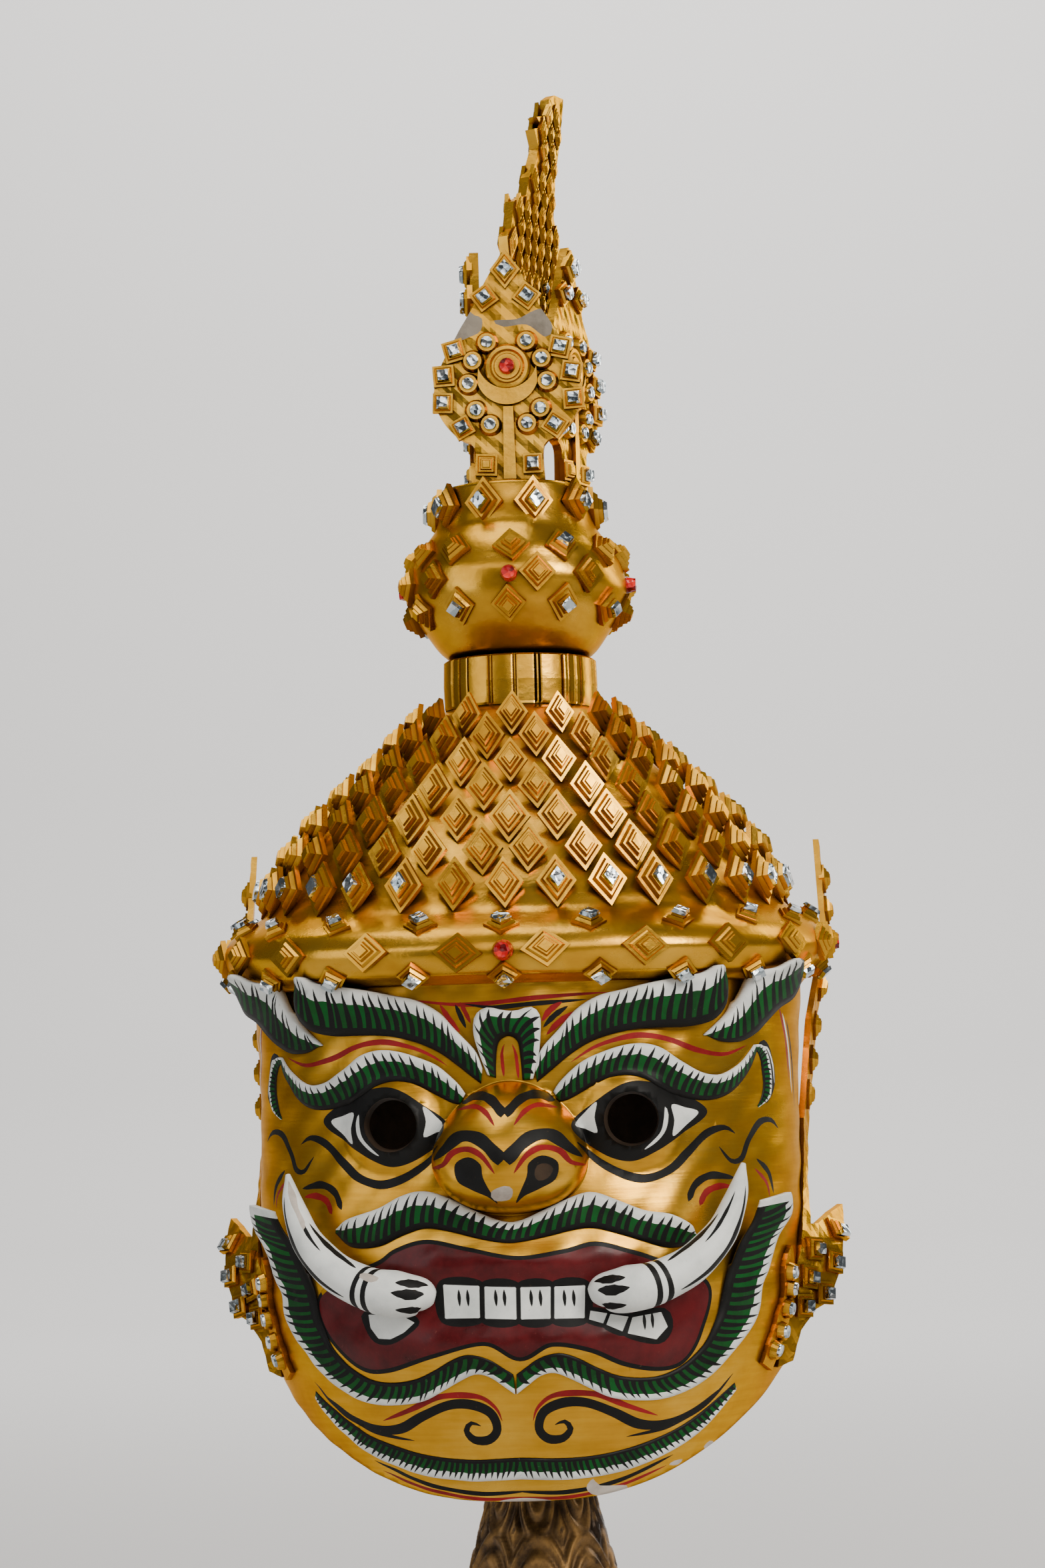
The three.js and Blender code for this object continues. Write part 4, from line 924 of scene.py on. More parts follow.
def gathered(parts):
    """The points, faces and finishes of several parts as those of one."""
    points, faces, paints = [], [], []
    for part_points, part_faces, part_paints in parts:
        first = sum(len(p) for p in points)
        points.append(part_points)
        faces += [tuple(int(i) + first for i in face) for face in part_faces]
        paints += list(part_paints)
    return np.concatenate(points), faces, paints


for number, (name, paired, rise, white_share, lifts, white_edge, dark_edge) in enumerate(BANDS):
    points, faces, paints = gathered(
        painted_band(white_edge, dark_edge, rise, white_share, lifts, side, number * 7 + side)
        for side in ((1, -1) if paired else (1,)))
    band = mesh_object(name, points, faces, face_finishes, paints)
    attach(band, "root")


# Crown cap: a round padded brim and a dome of papier-mache, set with rows of stepped diamonds of moulded
# lacquer, each pressed in a stone mould and glued on.
# The diamonds stand nearly upright, so their upper points stand off the dome; some carry a chip of mirror.
CAP_LEVELS = [(222, 117.5), (226, 120.5), (231, 126), (240, 129.5), (247, 126), (252, 119), (256, 113),
              (262, 109), (275, 100), (292, 86), (309, 67), (326, 50), (338, 38), (343.2, 33)]
CAP_SIDES = 200
CAP_ROWS = [(267, 34, 16.4, 22.6), (281, 31, 16.4, 22.2), (294, 28, 16.4, 21.8), (306, 24, 16.0, 21.6),
            (317, 21, 15.2, 21.2), (328, 17, 14.6, 20.6), (338, 14, 13.4, 19.6)]
CAP_LEAN, CAP_SINK = math.radians(14), 0.6
CAP_TURNS, CAP_LEANS, CAP_SIZES, CAP_TILTS = (-0.012, 0.012), (-0.06, 0.06), (0.94, 1.05), (-0.05, 0.05)
CAP_ROUND_FROM, CAP_ROUND_OVER = 259, 60
CAP_DENTS, CAP_DENTS_END, CAP_DENTS_FADE = 0.5, 340, 20
CROWN_NOD = 0.042
NOD_HEIGHTS, NOD_SHARES = (222, 231, 290, 338), (0, 1, 1, 0)
BRIM_TILES = 22
BRIM_ROWS = [(230, 0.0, 14.0, 12.5), (240, 0.5, 20.0, 16.0), (250.5, 0.0, 14.5, 12.0)]
BRIM_TURNS, BRIM_TILTS, BRIM_SHIFTS = (-0.015, 0.015), (-0.1, 0.1), (-0.7, 0.7)
BRIM_STEP = 1.3
TILE_SLAB, TILE_STEP, TILE_INSET, TILE_CHAMFER, TILE_CROWN = 2.2, 1.9, 0.80, 0.84, 0.9
MIRROR_HALF, MIRROR_LIFT, MIRROR_LOST = (3.7, 5.2), 0.6, 0.12
BRIM_MIRROR_HALF, BRIM_MIRROR_OUT = (4.4, 3.7), 4.5
BARE_FRONT_TILES = (-0.22, 0.05)
CHIP_THICK, CHIP_EDGE = 1.6, 0.82
# Tones of the mirror's facets, from dark to bright: painted glints.
MIRROR_TONES = [(0.25, (0.30, 0.36, 0.40, 1)), (0.55, (0.62, 0.70, 0.74, 1)), (0.8, (0.9, 0.94, 0.96, 1))]
cap_levels = np.array(CAP_LEVELS, float)
chance = random.Random(41)


def cap_reach(angle, height):
    power = SECTION_POWER - (SECTION_POWER - 2) * np.clip((height - CAP_ROUND_FROM) / CAP_ROUND_OVER, 0, 1)
    bare = eased(np.asarray(height, float), cap_levels[:, 0], cap_levels[:, 1])
    section = (np.abs(np.sin(angle)) ** power + np.abs(np.cos(angle)) ** power) ** (-1 / power)
    dents = CAP_DENTS * np.sin(angle * 9 + height * 0.11) * np.sin(height * 0.23 - angle * 5)
    return bare * section + dents * np.clip((CAP_DENTS_END - height) / CAP_DENTS_FADE, 0, 1)


def nodded(point):
    """The crown sits a little forward: its front is lower than its back."""
    share = CROWN_NOD * np.interp(point[..., 2] - MASK_ZERO, NOD_HEIGHTS, NOD_SHARES)
    return point + points_of(0, 0, share * point[..., 1])


def new_tree(name, **inputs):
    """An empty tree of geometry nodes with named inputs, and the sockets that give them inside it."""
    tree = bpy.data.node_groups.new(name, "GeometryNodeTree")
    for label, kind in inputs.items():
        tree.interface.new_socket(label, in_out="INPUT", socket_type="NodeSocket" + kind)
    tree.interface.new_socket("Geometry", in_out="OUTPUT", socket_type="NodeSocketGeometry")
    return tree, node(tree, "NodeGroupInput").outputs


def stepped_tiles(name):
    """Geometry nodes that set a stepped diamond on every point, turned and sized by its attributes."""
    tree, given = new_tree(name, Points="Geometry", Slab="Float", Step="Float", Inset="Float", Crown="Float",
                           Finish="Material")
    base = node(tree, "MeshCylinder", Vertices=4, Radius=1.0, Depth=given["Slab"]).outputs
    solid, top = base["Mesh"], base["Top"]
    for rise in ("Step", "Step", "Crown"):
        ledge = node(tree, "ExtrudeMesh", Mesh=solid, Selection=top, Offset_Scale=0.0).outputs
        inset = node(tree, "ScaleElements", Geometry=ledge["Mesh"], Selection=ledge["Top"],
                     Scale=given["Inset"])
        wall = node(tree, "ExtrudeMesh", Mesh=inset.outputs["Geometry"], Selection=ledge["Top"],
                    Offset_Scale=given[rise]).outputs
        chamfer = node(tree, "ScaleElements", Geometry=wall["Mesh"], Selection=wall["Top"],
                       Scale=TILE_CHAMFER)
        solid, top = chamfer.outputs["Geometry"], wall["Top"]
    return finish_scatter(tree, given, solid)


def finish_scatter(tree, given, solid):
    """Ends a tree: a copy of the solid on each point, made real and given its finish."""
    facing, size = (node(tree, "InputNamedAttribute", {"data_type": "FLOAT_VECTOR"}, Name=name)
                    for name in ("facing", "size"))
    turned = node(tree, "FunctionNodeEulerToRotation", Euler=facing.outputs["Attribute"])
    copies = node(tree, "InstanceOnPoints", Points=given["Points"], Instance=solid,
                  Rotation=turned.outputs["Rotation"], Scale=size.outputs["Attribute"])
    real = node(tree, "RealizeInstances", Geometry=copies.outputs["Instances"])
    dressed = node(tree, "SetMaterial", Geometry=real.outputs["Geometry"], Material=given["Finish"])
    node(tree, "NodeGroupOutput", Geometry=dressed.outputs["Geometry"])
    return tree


def scattered(name, tree, spots, settings):
    """One plain mesh of a tree's copies. A spot is a point, its across and up directions, and the half width
    and half height of the copy there, in millimetres."""
    mesh = bpy.data.meshes.new(name + "_points")
    mesh.from_pydata([tuple(np.asarray(spot[0]) * MM) for spot in spots], [], [])
    facing = mesh.attributes.new("facing", "FLOAT_VECTOR", "POINT")
    size = mesh.attributes.new("size", "FLOAT_VECTOR", "POINT")
    for i, (_, across, up, half_width, half_height) in enumerate(spots):
        across, up = Vector(across).normalized(), Vector(up).normalized()
        out = across.cross(up).normalized()
        facing.data[i].vector = Matrix((across, out.cross(across), out)).transposed().to_euler()
        size.data[i].vector = (half_width * MM, half_height * MM, 1)
    points = placed(name + "_points", mesh)
    modifier = points.modifiers.new("scatter", "NODES")
    modifier.node_group = tree
    for item in tree.interface.items_tree:
        if item.in_out == "INPUT" and item.name in settings:
            modifier[item.identifier] = settings[item.name]
    solid = bpy.data.meshes.new_from_object(points.evaluated_get(bpy.context.evaluated_depsgraph_get()))
    bpy.data.objects.remove(points)
    solid.name = name
    return placed(name, solid)


def mirror_chips(name):
    """Geometry nodes that set a flat chip of glass with ground edges on every point."""
    tree, given = new_tree(name, Points="Geometry", Sides="Int", Thickness="Float", Edge="Float",
                           Finish="Material")
    chip = node(tree, "MeshCylinder", Vertices=given["Sides"], Radius=1.0, Depth=given["Thickness"]).outputs
    ground = node(tree, "ScaleElements", Geometry=chip["Mesh"], Selection=chip["Top"], Scale=given["Edge"])
    return finish_scatter(tree, given, ground.outputs["Geometry"])


def outward(angle):
    """Directions out from the axis and to the right, at an angle counted from the front."""
    return (np.array([math.sin(angle), -math.cos(angle), 0.0]),
            np.array([math.cos(angle), math.sin(angle), 0.0]))


def lies_flat(reach_of, angle, height):
    """Where a tile lies on a round body: its middle, and its directions across, up and to the front."""
    out, across = outward(angle)
    slope = float(reach_of(angle, height + 3) - reach_of(angle, height - 3)) / 6
    up = np.array([0, 0, 1.0]) + out * slope
    up /= np.linalg.norm(up)
    middle = nodded(out * float(reach_of(angle, height)) + [0, 0, height + MASK_ZERO])
    return middle, across, up, np.cross(across, up)


def tilted(middle, across, up, tilt, wide, tall):
    """A spot for one tile, turned a little in its own plane."""
    return middle, across + up * tilt, up - across * tilt, wide / 2, tall / 2


def cut_glass(name, body, metallic, facet_glints, facets, scratches, dullness, relief, **sockets):
    """Glass with foil behind it: its facets painted in tones from dark to bright as painted glints, duller
    where it is scratched.
    """
    material, tree, shader = new_material(name, body, dullness[2], metallic)
    place = node(tree, "TexCoord").outputs["Object"]
    cuts = node(tree, "TexVoronoi", Vector=place, Scale=facets).outputs
    feed(shader, Base_Color=ramp(tree, cuts["Color"], facet_glints),
         Roughness=spread(tree, noise(tree, place, *scratches), *dullness),
         Normal=bump(tree, *relief, cuts["Distance"]), **sockets)
    return material


cap_heights = np.unique(np.concatenate([np.arange(222, 262, 1.8), np.arange(262, 343, 2.7), [343.2]]))
cap_angles = np.linspace(0, 2 * math.pi, CAP_SIDES + 1)
cap_points, cap_faces, cap_finish = [], [], []
cap_rows = [nodded(about_axis(cap_reach(cap_angles, height + 0 * cap_angles), cap_angles, height))
            for height in cap_heights]
for rows in (cap_rows, [cap_rows[-1], cap_rows[-1] * [0.05, 0.05, 1]],
             [cap_rows[0] * [0.9, 0.9, 1], cap_rows[0]]):
    add_grid(cap_points, cap_faces, cap_finish, rows, 0)
crown_gold = gilt("crown_gold_lacquer", (60, 60, 150), GOLD_COLOURS, (0.20, 0.36), 0.0013, 0.008)
cap = mesh_object("crown_cap", np.concatenate(cap_points), cap_faces, [crown_gold], cap_finish)
weld(cap)
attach(cap, "root")

tile_tree = stepped_tiles("stepped_tiles")
chip_tree = mirror_chips("mirror_chips")
cap_spots, cap_mirrors = [], []
for row, (height, count, wide, tall) in enumerate(CAP_ROWS):
    for k in range(count):
        angle = 2 * math.pi * (k + 0.5 * (row % 2)) / count + chance.uniform(*CAP_TURNS)
        lean = CAP_LEAN + chance.uniform(*CAP_LEANS)
        grown = chance.uniform(*CAP_SIZES)
        out, across = outward(angle)
        up = np.array([0, 0, math.cos(lean)]) - out * math.sin(lean)
        foot_height = height - tall / 2 * math.cos(lean)
        foot = out * (float(cap_reach(angle, foot_height)) - CAP_SINK) + [0, 0, foot_height + MASK_ZERO]
        middle = nodded(foot + up * tall / 2)
        tilt = chance.uniform(*CAP_TILTS)
        cap_spots.append(tilted(middle, across, up, tilt, wide * grown, tall * grown))
        turned = (angle + math.pi) % (2 * math.pi) - math.pi
        bare = BARE_FRONT_TILES[0] < turned < BARE_FRONT_TILES[1] or chance.random() < MIRROR_LOST
        if row == 0 and not bare:
            glass = middle + np.cross(across, up) * (TILE_SLAB / 2 + 2 * TILE_STEP + MIRROR_LIFT)
            cap_mirrors.append((glass, across, up, *MIRROR_HALF))
tile_settings = {"Slab": TILE_SLAB * MM, "Step": TILE_STEP * MM, "Inset": TILE_INSET,
                 "Crown": TILE_CROWN * MM, "Finish": crown_gold}
cap_tiles = scattered("cap_tiles", tile_tree, cap_spots, tile_settings)
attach(cap_tiles, "root")

brim_spots, brim_mirrors = [], []
for row, (height, shift, wide, tall) in enumerate(BRIM_ROWS):
    for k in range(BRIM_TILES):
        angle = 2 * math.pi * (k + shift) / BRIM_TILES + chance.uniform(*BRIM_TURNS)
        tilt = chance.uniform(*BRIM_TILTS)
        middle, across, up, front = lies_flat(cap_reach, angle, height + chance.uniform(*BRIM_SHIFTS))
        brim_spots.append(tilted(middle, across, up, tilt, wide, tall))
        if row != 1:
            brim_mirrors.append((middle + front * BRIM_MIRROR_OUT, across, up, *BRIM_MIRROR_HALF))
brim_settings = dict(tile_settings, Step=BRIM_STEP * MM)
brim_tiles = scattered("brim_tiles", tile_tree, brim_spots, brim_settings)
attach(brim_tiles, "root")

mirror = cut_glass("mirror_glass", (0.78, 0.83, 0.86, 1), 1.0, MIRROR_TONES, 330.0, (900.0, 3.0),
                   (0.4, 0.75, 0.05, 0.32), (0.5, 0.001))
chip_settings = {"Sides": 4, "Thickness": CHIP_THICK * MM, "Edge": CHIP_EDGE, "Finish": mirror}
crown_mirrors = scattered("crown_mirrors", chip_tree, cap_mirrors + brim_mirrors, chip_settings)
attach(crown_mirrors, "root")


# Collar and bulb: turned wood and paper above the cap. The collar is faced with upright slips of uneven
# width; the bulb carries stepped diamonds, and a cup of diamonds set with mirror stands round its neck.
COLLAR_LOW, COLLAR_HIGH, COLLAR_RADIUS = 343.4, 365.0, 33.0
COLLAR_SLIPS = 38
SLIP_GROOVE = 1.5
SLIP_STAND, SLIP_BEVEL, SLIP_ENDS = (-0.7, 0.5), 0.7, 0.3
COLLAR_SIDES = 360
BULB_PROFILE = [(366, 30), (369, 33.5), (375, 38.5), (386, 45), (397, 47.5), (407, 45), (416, 39.5),
                (422, 35.5), (431, 32.8), (440, 30.5)]
BULB_LEVELS, BULB_DENTS = 46, 0.4
BULB_SIDES = 120
BULB_TILES = 12
BULB_ROWS = [(385, 0.0, 15.0, 17.0), (397.5, 0.5, 16.0, 17.0), (409.5, 0.0, 16.0, 16.0)]
BULB_MIRRORS = [(0, 1), (0, 2), (0, 11), (0, 5), (0, 8), (2, 1), (2, 4), (2, 8)]
BULB_TURNS, BULB_TILTS = (-0.05, 0.05), (-0.12, 0.12)
BULB_SLAB, BULB_STEP = 2.4, 1.6
BULB_MIRROR_HALF, BULB_MIRROR_OUT = (4.2, 3.8), 5.3
CUP_TILES, CUP_HEIGHT, CUP_HALF_WIDTH, CUP_HALF_HEIGHT, CUP_REACH = 10, 430.5, 8.6, 11.0, 33.5
CUP_TURNS, CUP_SHIFTS, CUP_LEAN = (-0.03, 0.03), (-0.8, 0.8), 0.05
CUP_MIRROR_HALF, CUP_MIRROR_OUT = (4.1, 4.9), 6.0
bulb_levels = np.array(BULB_PROFILE, float)

slip_edges = sorted(chance.uniform(0, 2 * math.pi) for _ in range(COLLAR_SLIPS // 2))
slip_edges += [2 * math.pi * k / (COLLAR_SLIPS // 2) for k in range(COLLAR_SLIPS // 2)]
slip_edges = np.array(sorted(slip_edges))
slip_stand = np.array([chance.uniform(*SLIP_STAND) for _ in slip_edges])


def slips(angle, height, radius):
    """The collar's faces: flat slips with a groove between neighbours, some standing prouder than others."""
    number = int(np.searchsorted(slip_edges, angle)) - 1
    left = slip_edges[number] if number >= 0 else slip_edges[-1] - 2 * math.pi
    right = slip_edges[number + 1] if number + 1 < len(slip_edges) else slip_edges[0] + 2 * math.pi
    near = min(angle - left, right - angle) * COLLAR_RADIUS
    groove = SLIP_GROOVE * max(0.0, 1 - near / SLIP_BEVEL)
    inner = COLLAR_LOW + 0.5 < height < COLLAR_HIGH - 0.5
    return radius + (slip_stand[number] - groove) * (1 if inner else SLIP_ENDS)


collar_profile = [(COLLAR_LOW, COLLAR_RADIUS), (COLLAR_LOW + 1, COLLAR_RADIUS), (354, COLLAR_RADIUS + 0.3),
                  (COLLAR_HIGH - 0.8, COLLAR_RADIUS), (COLLAR_HIGH - 0.05, COLLAR_RADIUS - 0.7),
                  (COLLAR_HIGH, 29)]
collar_points, collar_faces = lathe(collar_profile, COLLAR_SIDES, slips)
collar_points = np.array(collar_points) + [0, 0, MASK_ZERO]
collar = mesh_object("crown_collar_slips", collar_points, collar_faces, [crown_gold], smooth=False)
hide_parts("crown_collar")
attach(collar, "root")


def bulb_reach(angle, height, radius=0.0):
    bare = float(eased(np.array(height, float), bulb_levels[:, 0], bulb_levels[:, 1]))
    return bare + BULB_DENTS * math.sin(angle * 5 + height * 0.2) * math.sin(height * 0.31 - angle * 3)


bulb_heights = np.linspace(bulb_levels[0, 0], bulb_levels[-1, 0], BULB_LEVELS)
bulb_points, bulb_faces = lathe([(height, 0) for height in bulb_heights], BULB_SIDES, bulb_reach)
bulb = mesh_object("crown_bulb_body", np.array(bulb_points) + [0, 0, MASK_ZERO], bulb_faces, [crown_gold])
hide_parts("crown_bulb")
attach(bulb, "root")

bulb_spots, bulb_mirrors = [], []
for row, (height, shift, wide, tall) in enumerate(BULB_ROWS):
    for k in range(BULB_TILES):
        if row == 1 and k % 3 == 2:
            continue
        angle = 2 * math.pi * (k + shift) / BULB_TILES + chance.uniform(*BULB_TURNS)
        tilt = chance.uniform(*BULB_TILTS)
        middle, across, up, front = lies_flat(bulb_reach, angle, height)
        bulb_spots.append(tilted(middle, across, up, tilt, wide, tall))
        if (row, k) in BULB_MIRRORS:
            bulb_mirrors.append((middle + front * BULB_MIRROR_OUT, across, up, *BULB_MIRROR_HALF))
bulb_settings = dict(tile_settings, Slab=BULB_SLAB * MM, Step=BULB_STEP * MM)
bulb_tiles = scattered("bulb_tiles", tile_tree, bulb_spots, bulb_settings)
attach(bulb_tiles, "root")

cup_spots = []
for k in range(CUP_TILES):
    out, across = outward(2 * math.pi * (k + 0.5) / CUP_TILES + chance.uniform(*CUP_TURNS))
    up = np.array([0, 0, 1.0]) - out * CUP_LEAN
    middle = out * CUP_REACH + [0, 0, CUP_HEIGHT + MASK_ZERO + chance.uniform(*CUP_SHIFTS)]
    cup_spots.append((middle, across, up, CUP_HALF_WIDTH, CUP_HALF_HEIGHT))
    bulb_mirrors.append((middle + out * CUP_MIRROR_OUT, across, up, *CUP_MIRROR_HALF))
cup_tiles = scattered("cup_tiles", tile_tree, cup_spots, tile_settings)
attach(cup_tiles, "root")
bulb_chips = scattered("bulb_mirrors", chip_tree, bulb_mirrors, chip_settings)
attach(bulb_chips, "root")


# Plaques: three leaf shapes cut from stiff leather that stand in the cup, gilded and set with mirror.
# The front one has a ring boss with a red stone, a crescent and a rib, and has lost gilding in two places.
PLAQUE_SIDE = [(0, 15), (15, 15), (19, 21.5), (27, 28.5), (36, 32), (47, 30.5), (60, 24), (68, 19.5),
               (76, 14.5), (88, 8.5), (101, 0.6)]
PLAQUE_FOOT, PLAQUE_FRONT, PLAQUE_THICK = 440.4, 25.0, 4.0
SIDE_WIDE, SIDE_TALL = 0.8, 1.07
RIGHT_PLAQUE, LEFT_PLAQUE = (26.0, 5.0, -0.4, 1), (18.0, 7.0, -0.09, -1)
BOSS_HEIGHT = 49.4
BOSS_RINGS = [(-0.5, 10.2), (1.2, 10.0), (2.2, 9.0), (2.3, 7.6), (1.6, 6.7), (1.6, 5.8), (2.5, 5.4),
              (2.5, 0.05)]
CRESCENT_OUT, CRESCENT_IN, CRESCENT_ENDS, CRESCENT_POINTS = (13.5, -3.0), (13.0, 3.5), (196, 344), 24
CRESCENT_HIGH, RIB_HIGH, SUNK, PLAQUE_GRID, PLAQUE_WAVE = 1.8, 1.9, -0.5, 2.5, 0.35
RIB = [(-2.6, 0.5), (2.8, 0.5), (2.5, 14), (2.1, 32), (-2.1, 32), (-2.4, 14)]
SEAT_TURNS = [0, 30, 38, 45, 14, 8, 45]
SEAT_HALF, TIP_SEAT_HALF = 6.3, (6.6, 8.4)
SEAT_OUT, SEAT_TILTS, SEAT_SIZES = 0.2, (-5, 5), (0.93, 1.05)
SEAT_SLAB, SEAT_STEP, SEAT_CROWN = 2.4, 1.0, 0.3
LOZENGE_HALF, TIP_LOZENGE_HALF, LOZENGE_OUT = (3.8, 3.8), (3.9, 4.4), 3.9
ROUND_SEAT, ROUND_SEAT_OUT, ROUND_HALF, ROUND_OUT, ROUND_SIDES = 5.6, 0.6, 3.0, 2.6, 14
BUTTON_SIDES, BUTTON_THICK, BUTTON_EDGE = 18, 3.6, 0.7
LOZENGES, ROUNDS = range(1, 13), range(1, 11)
LOST_GILDING = [[(677, 512), (698, 469), (712, 473), (723, 478), (721, 496), (704, 506)],
                [(741, 481), (776, 478), (813, 463), (829, 492), (818, 505), (790, 487), (755, 490)]]
LEATHER = [(0.10, 0.085, 0.065, 1), (0.25, 0.215, 0.17, 1), (0.42, 0.31, 0.16, 1)]


def place_front(x, height, out=0.0):
    return points_of(x, -PLAQUE_FRONT - out, height + PLAQUE_FOOT + MASK_ZERO)


def side_plaque(offset, back, turned, side):
    """The function that places points on a side plaque, given where it stands and how far it is turned."""
    c, s = math.cos(math.pi / 2 + turned), math.sin(math.pi / 2 + turned)

    def place_of(x, height, out=0.0):
        along = x * SIDE_WIDE
        return points_of(side * (along * c + out * s + offset), along * s - out * c + back,
                         height * SIDE_TALL + PLAQUE_FOOT + MASK_ZERO)

    return place_of


def seen_on_plane(pixels, front):
    """Sideways place and height of the photograph's pixels, on an upright plane in front of the axis."""
    way = sight(pixels)
    found = view_from + way * ((-front - view_from[1]) / way[:, 1])[:, None]
    return found[:, [0, 2]]


def slab(outline, place_of, low, high, grid_step=3.0, regions=(), wave=0.0):
    """A flat piece cut to an outline, between two levels out from a sheet."""
    outline = np.asarray(outline, float)
    low_corner, high_corner = outline.min(0), outline.max(0)
    loose = np.stack(np.meshgrid(np.arange(low_corner[0], high_corner[0], grid_step),
                                 np.arange(low_corner[1], high_corner[1], grid_step)), -1).reshape(-1, 2)
    loose = loose[inside(loose, outline)]
    flat, triangles, finish = painted_sheet(outline, loose, list(regions))
    uneven = wave * np.sin(flat[:, 0] * 0.5 + flat[:, 1] * 0.3) * np.sin(flat[:, 1] * 0.37)
    front = place_of(flat[:, 0], flat[:, 1], high + uneven)
    return closed_strip(triangles, finish, front, place_of(flat[:, 0], flat[:, 1], low))


def joined(name, parts, materials, smooth=False):
    """One piece of several closed parts, with its faces turned outwards."""
    points, faces, paints = gathered(parts)
    made = mesh_object(name, points, faces, materials, paints, smooth)
    weld(made, 0.002, True)
    return made


def disc(rings, x, height, place_of, sides=36):
    """A turned disc on a sheet, from rings of level and radius; its last ring closes it."""
    around = np.arange(sides) * 2 * math.pi / sides
    points = np.concatenate([place_of(x + r * np.sin(around), height + r * np.cos(around), level)
                             for level, r in rings])
    count = len(rings) - 1
    faces = []
    for low in range(0, count * sides, sides):
        pairs = [(low + k, low + (k + 1) % sides) for k in range(sides)]
        faces += [(a, b, b + sides, a + sides) for a, b in pairs]
    faces += [tuple(range(sides)), tuple(range(count * sides, (count + 1) * sides))]
    return points, faces, [0] * len(faces)


def arc(radius, rise):
    """A curve of the crescent, about a middle that lies above or below the boss."""
    turns = np.radians(np.linspace(*CRESCENT_ENDS, CRESCENT_POINTS))
    return points_of(radius * np.cos(turns), BOSS_HEIGHT + rise + radius * np.sin(turns))


side_line = flowing([(x, h) for h, x in PLAQUE_SIDE], 2.0)
plaque_outline = between(side_line, side_line * [-1, 1])
crescent = between(arc(*CRESCENT_OUT), arc(*CRESCENT_IN))
lost = [(seen_on_plane(flowing(patch, 6, True), PLAQUE_FRONT) - [0, PLAQUE_FOOT], BLACK)
        for patch in LOST_GILDING]
bare_leather = enamel("bare_leather", *LEATHER, 0.8)
place_right, place_left = side_plaque(*RIGHT_PLAQUE), side_plaque(*LEFT_PLAQUE)
for name, node_name, place_of, patches in (("front_plaque", "plaque_front", place_front, lost),
                                           ("right_plaque", "plaque_right", place_right, []),
                                           ("left_plaque", "plaque_left", place_left, [])):
    parts = [slab(plaque_outline, place_of, -PLAQUE_THICK, 0.0, PLAQUE_GRID, patches, PLAQUE_WAVE),
             slab(crescent, place_of, SUNK, CRESCENT_HIGH), slab(RIB, place_of, SUNK, RIB_HIGH),
             disc(BOSS_RINGS, 0.0, BOSS_HEIGHT, place_of)]
    plaque = joined(name, parts, [crown_gold, bare_leather])
    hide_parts(node_name)
    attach(plaque, "root")


def on_plaque(name):
    """Sideways place and height, on the front plaque, of the middle of a piece."""
    low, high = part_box(name)
    middle = np.array((low + high) / 2) / MM
    return middle[0], middle[2] - MASK_ZERO - PLAQUE_FOOT


seat_places = [on_plaque(f"lozenge_mirror_{k}") for k in LOZENGES]
seat_places.append((-seat_places[-1][0], seat_places[-1][1]))
round_places = [on_plaque(f"round_mirror_{k}") for k in ROUNDS]


def frame_at(place_of, x, height, turn_degrees=0.0):
    """Across and up directions of a sheet at a place, turned in its plane."""
    x, height = np.array(float(x)), np.array(float(height))
    here = place_of(x, height)
    across, up = place_of(x + 1.0, height) - here, place_of(x, height + 1.0) - here
    across, up = across / np.linalg.norm(across), up / np.linalg.norm(up)
    if np.dot(np.cross(across, up), place_of(x, height, 1.0) - here) < 0:
        across = -across
    c, s = math.cos(math.radians(turn_degrees)), math.sin(math.radians(turn_degrees))
    return across * c + up * s, up * c - across * s


def spot_on(place_of, x, height, out, directions, half_width, half_height):
    """A spot for one copy, out from a sheet by so much."""
    return (place_of(np.array(x), np.array(height), out), *directions, half_width, half_height)


seat_settings = {"Slab": SEAT_SLAB * MM, "Step": SEAT_STEP * MM, "Inset": 0.8, "Crown": SEAT_CROWN * MM,
                 "Finish": crown_gold}
button_settings = {"Sides": BUTTON_SIDES, "Thickness": BUTTON_THICK * MM, "Edge": BUTTON_EDGE,
                   "Finish": crown_gold}
round_settings = dict(chip_settings, Sides=ROUND_SIDES)
for name, place_of, whole in (("front", place_front, True), ("right", place_right, False),
                              ("left", place_left, False)):
    seats, chips, buttons, round_chips = [], [], [], []
    for k, (x, height) in enumerate(seat_places):
        turn_by = SEAT_TURNS[(k + 1) // 2] * (1 if x >= 0 else -1) + chance.uniform(*SEAT_TILTS)
        here = place_of, x, height
        directions = frame_at(*here, turn_by)
        half = TIP_SEAT_HALF if k == 0 else (SEAT_HALF * chance.uniform(*SEAT_SIZES),) * 2
        seats.append(spot_on(*here, SEAT_OUT, directions, *half))
        if k < len(LOZENGES):
            chips.append(spot_on(*here, LOZENGE_OUT, directions, *(LOZENGE_HALF if k else TIP_LOZENGE_HALF)))
    for x, height in round_places:
        here = place_of, x, height
        buttons.append(spot_on(*here, ROUND_SEAT_OUT, frame_at(*here), ROUND_SEAT, ROUND_SEAT))
        round_chips.append(spot_on(*here, ROUND_OUT, frame_at(*here), ROUND_HALF, ROUND_HALF))
    made = [scattered(name + "_plaque_seats", tile_tree, seats, seat_settings),
            scattered(name + "_plaque_buttons", chip_tree, buttons, button_settings)]
    glass = [scattered(name + "_lozenge_mirrors", chip_tree, chips, chip_settings),
             scattered(name + "_round_mirrors", chip_tree, round_chips, round_settings)]
    if whole:
        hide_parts(*[f"lozenge_mirror_{k}" for k in range(1, 13)])
        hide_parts(*[f"round_mirror_{k}" for k in range(1, 11)])
    for piece in made:
        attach(piece, "root")
    for piece in glass:
        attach(piece, "root")


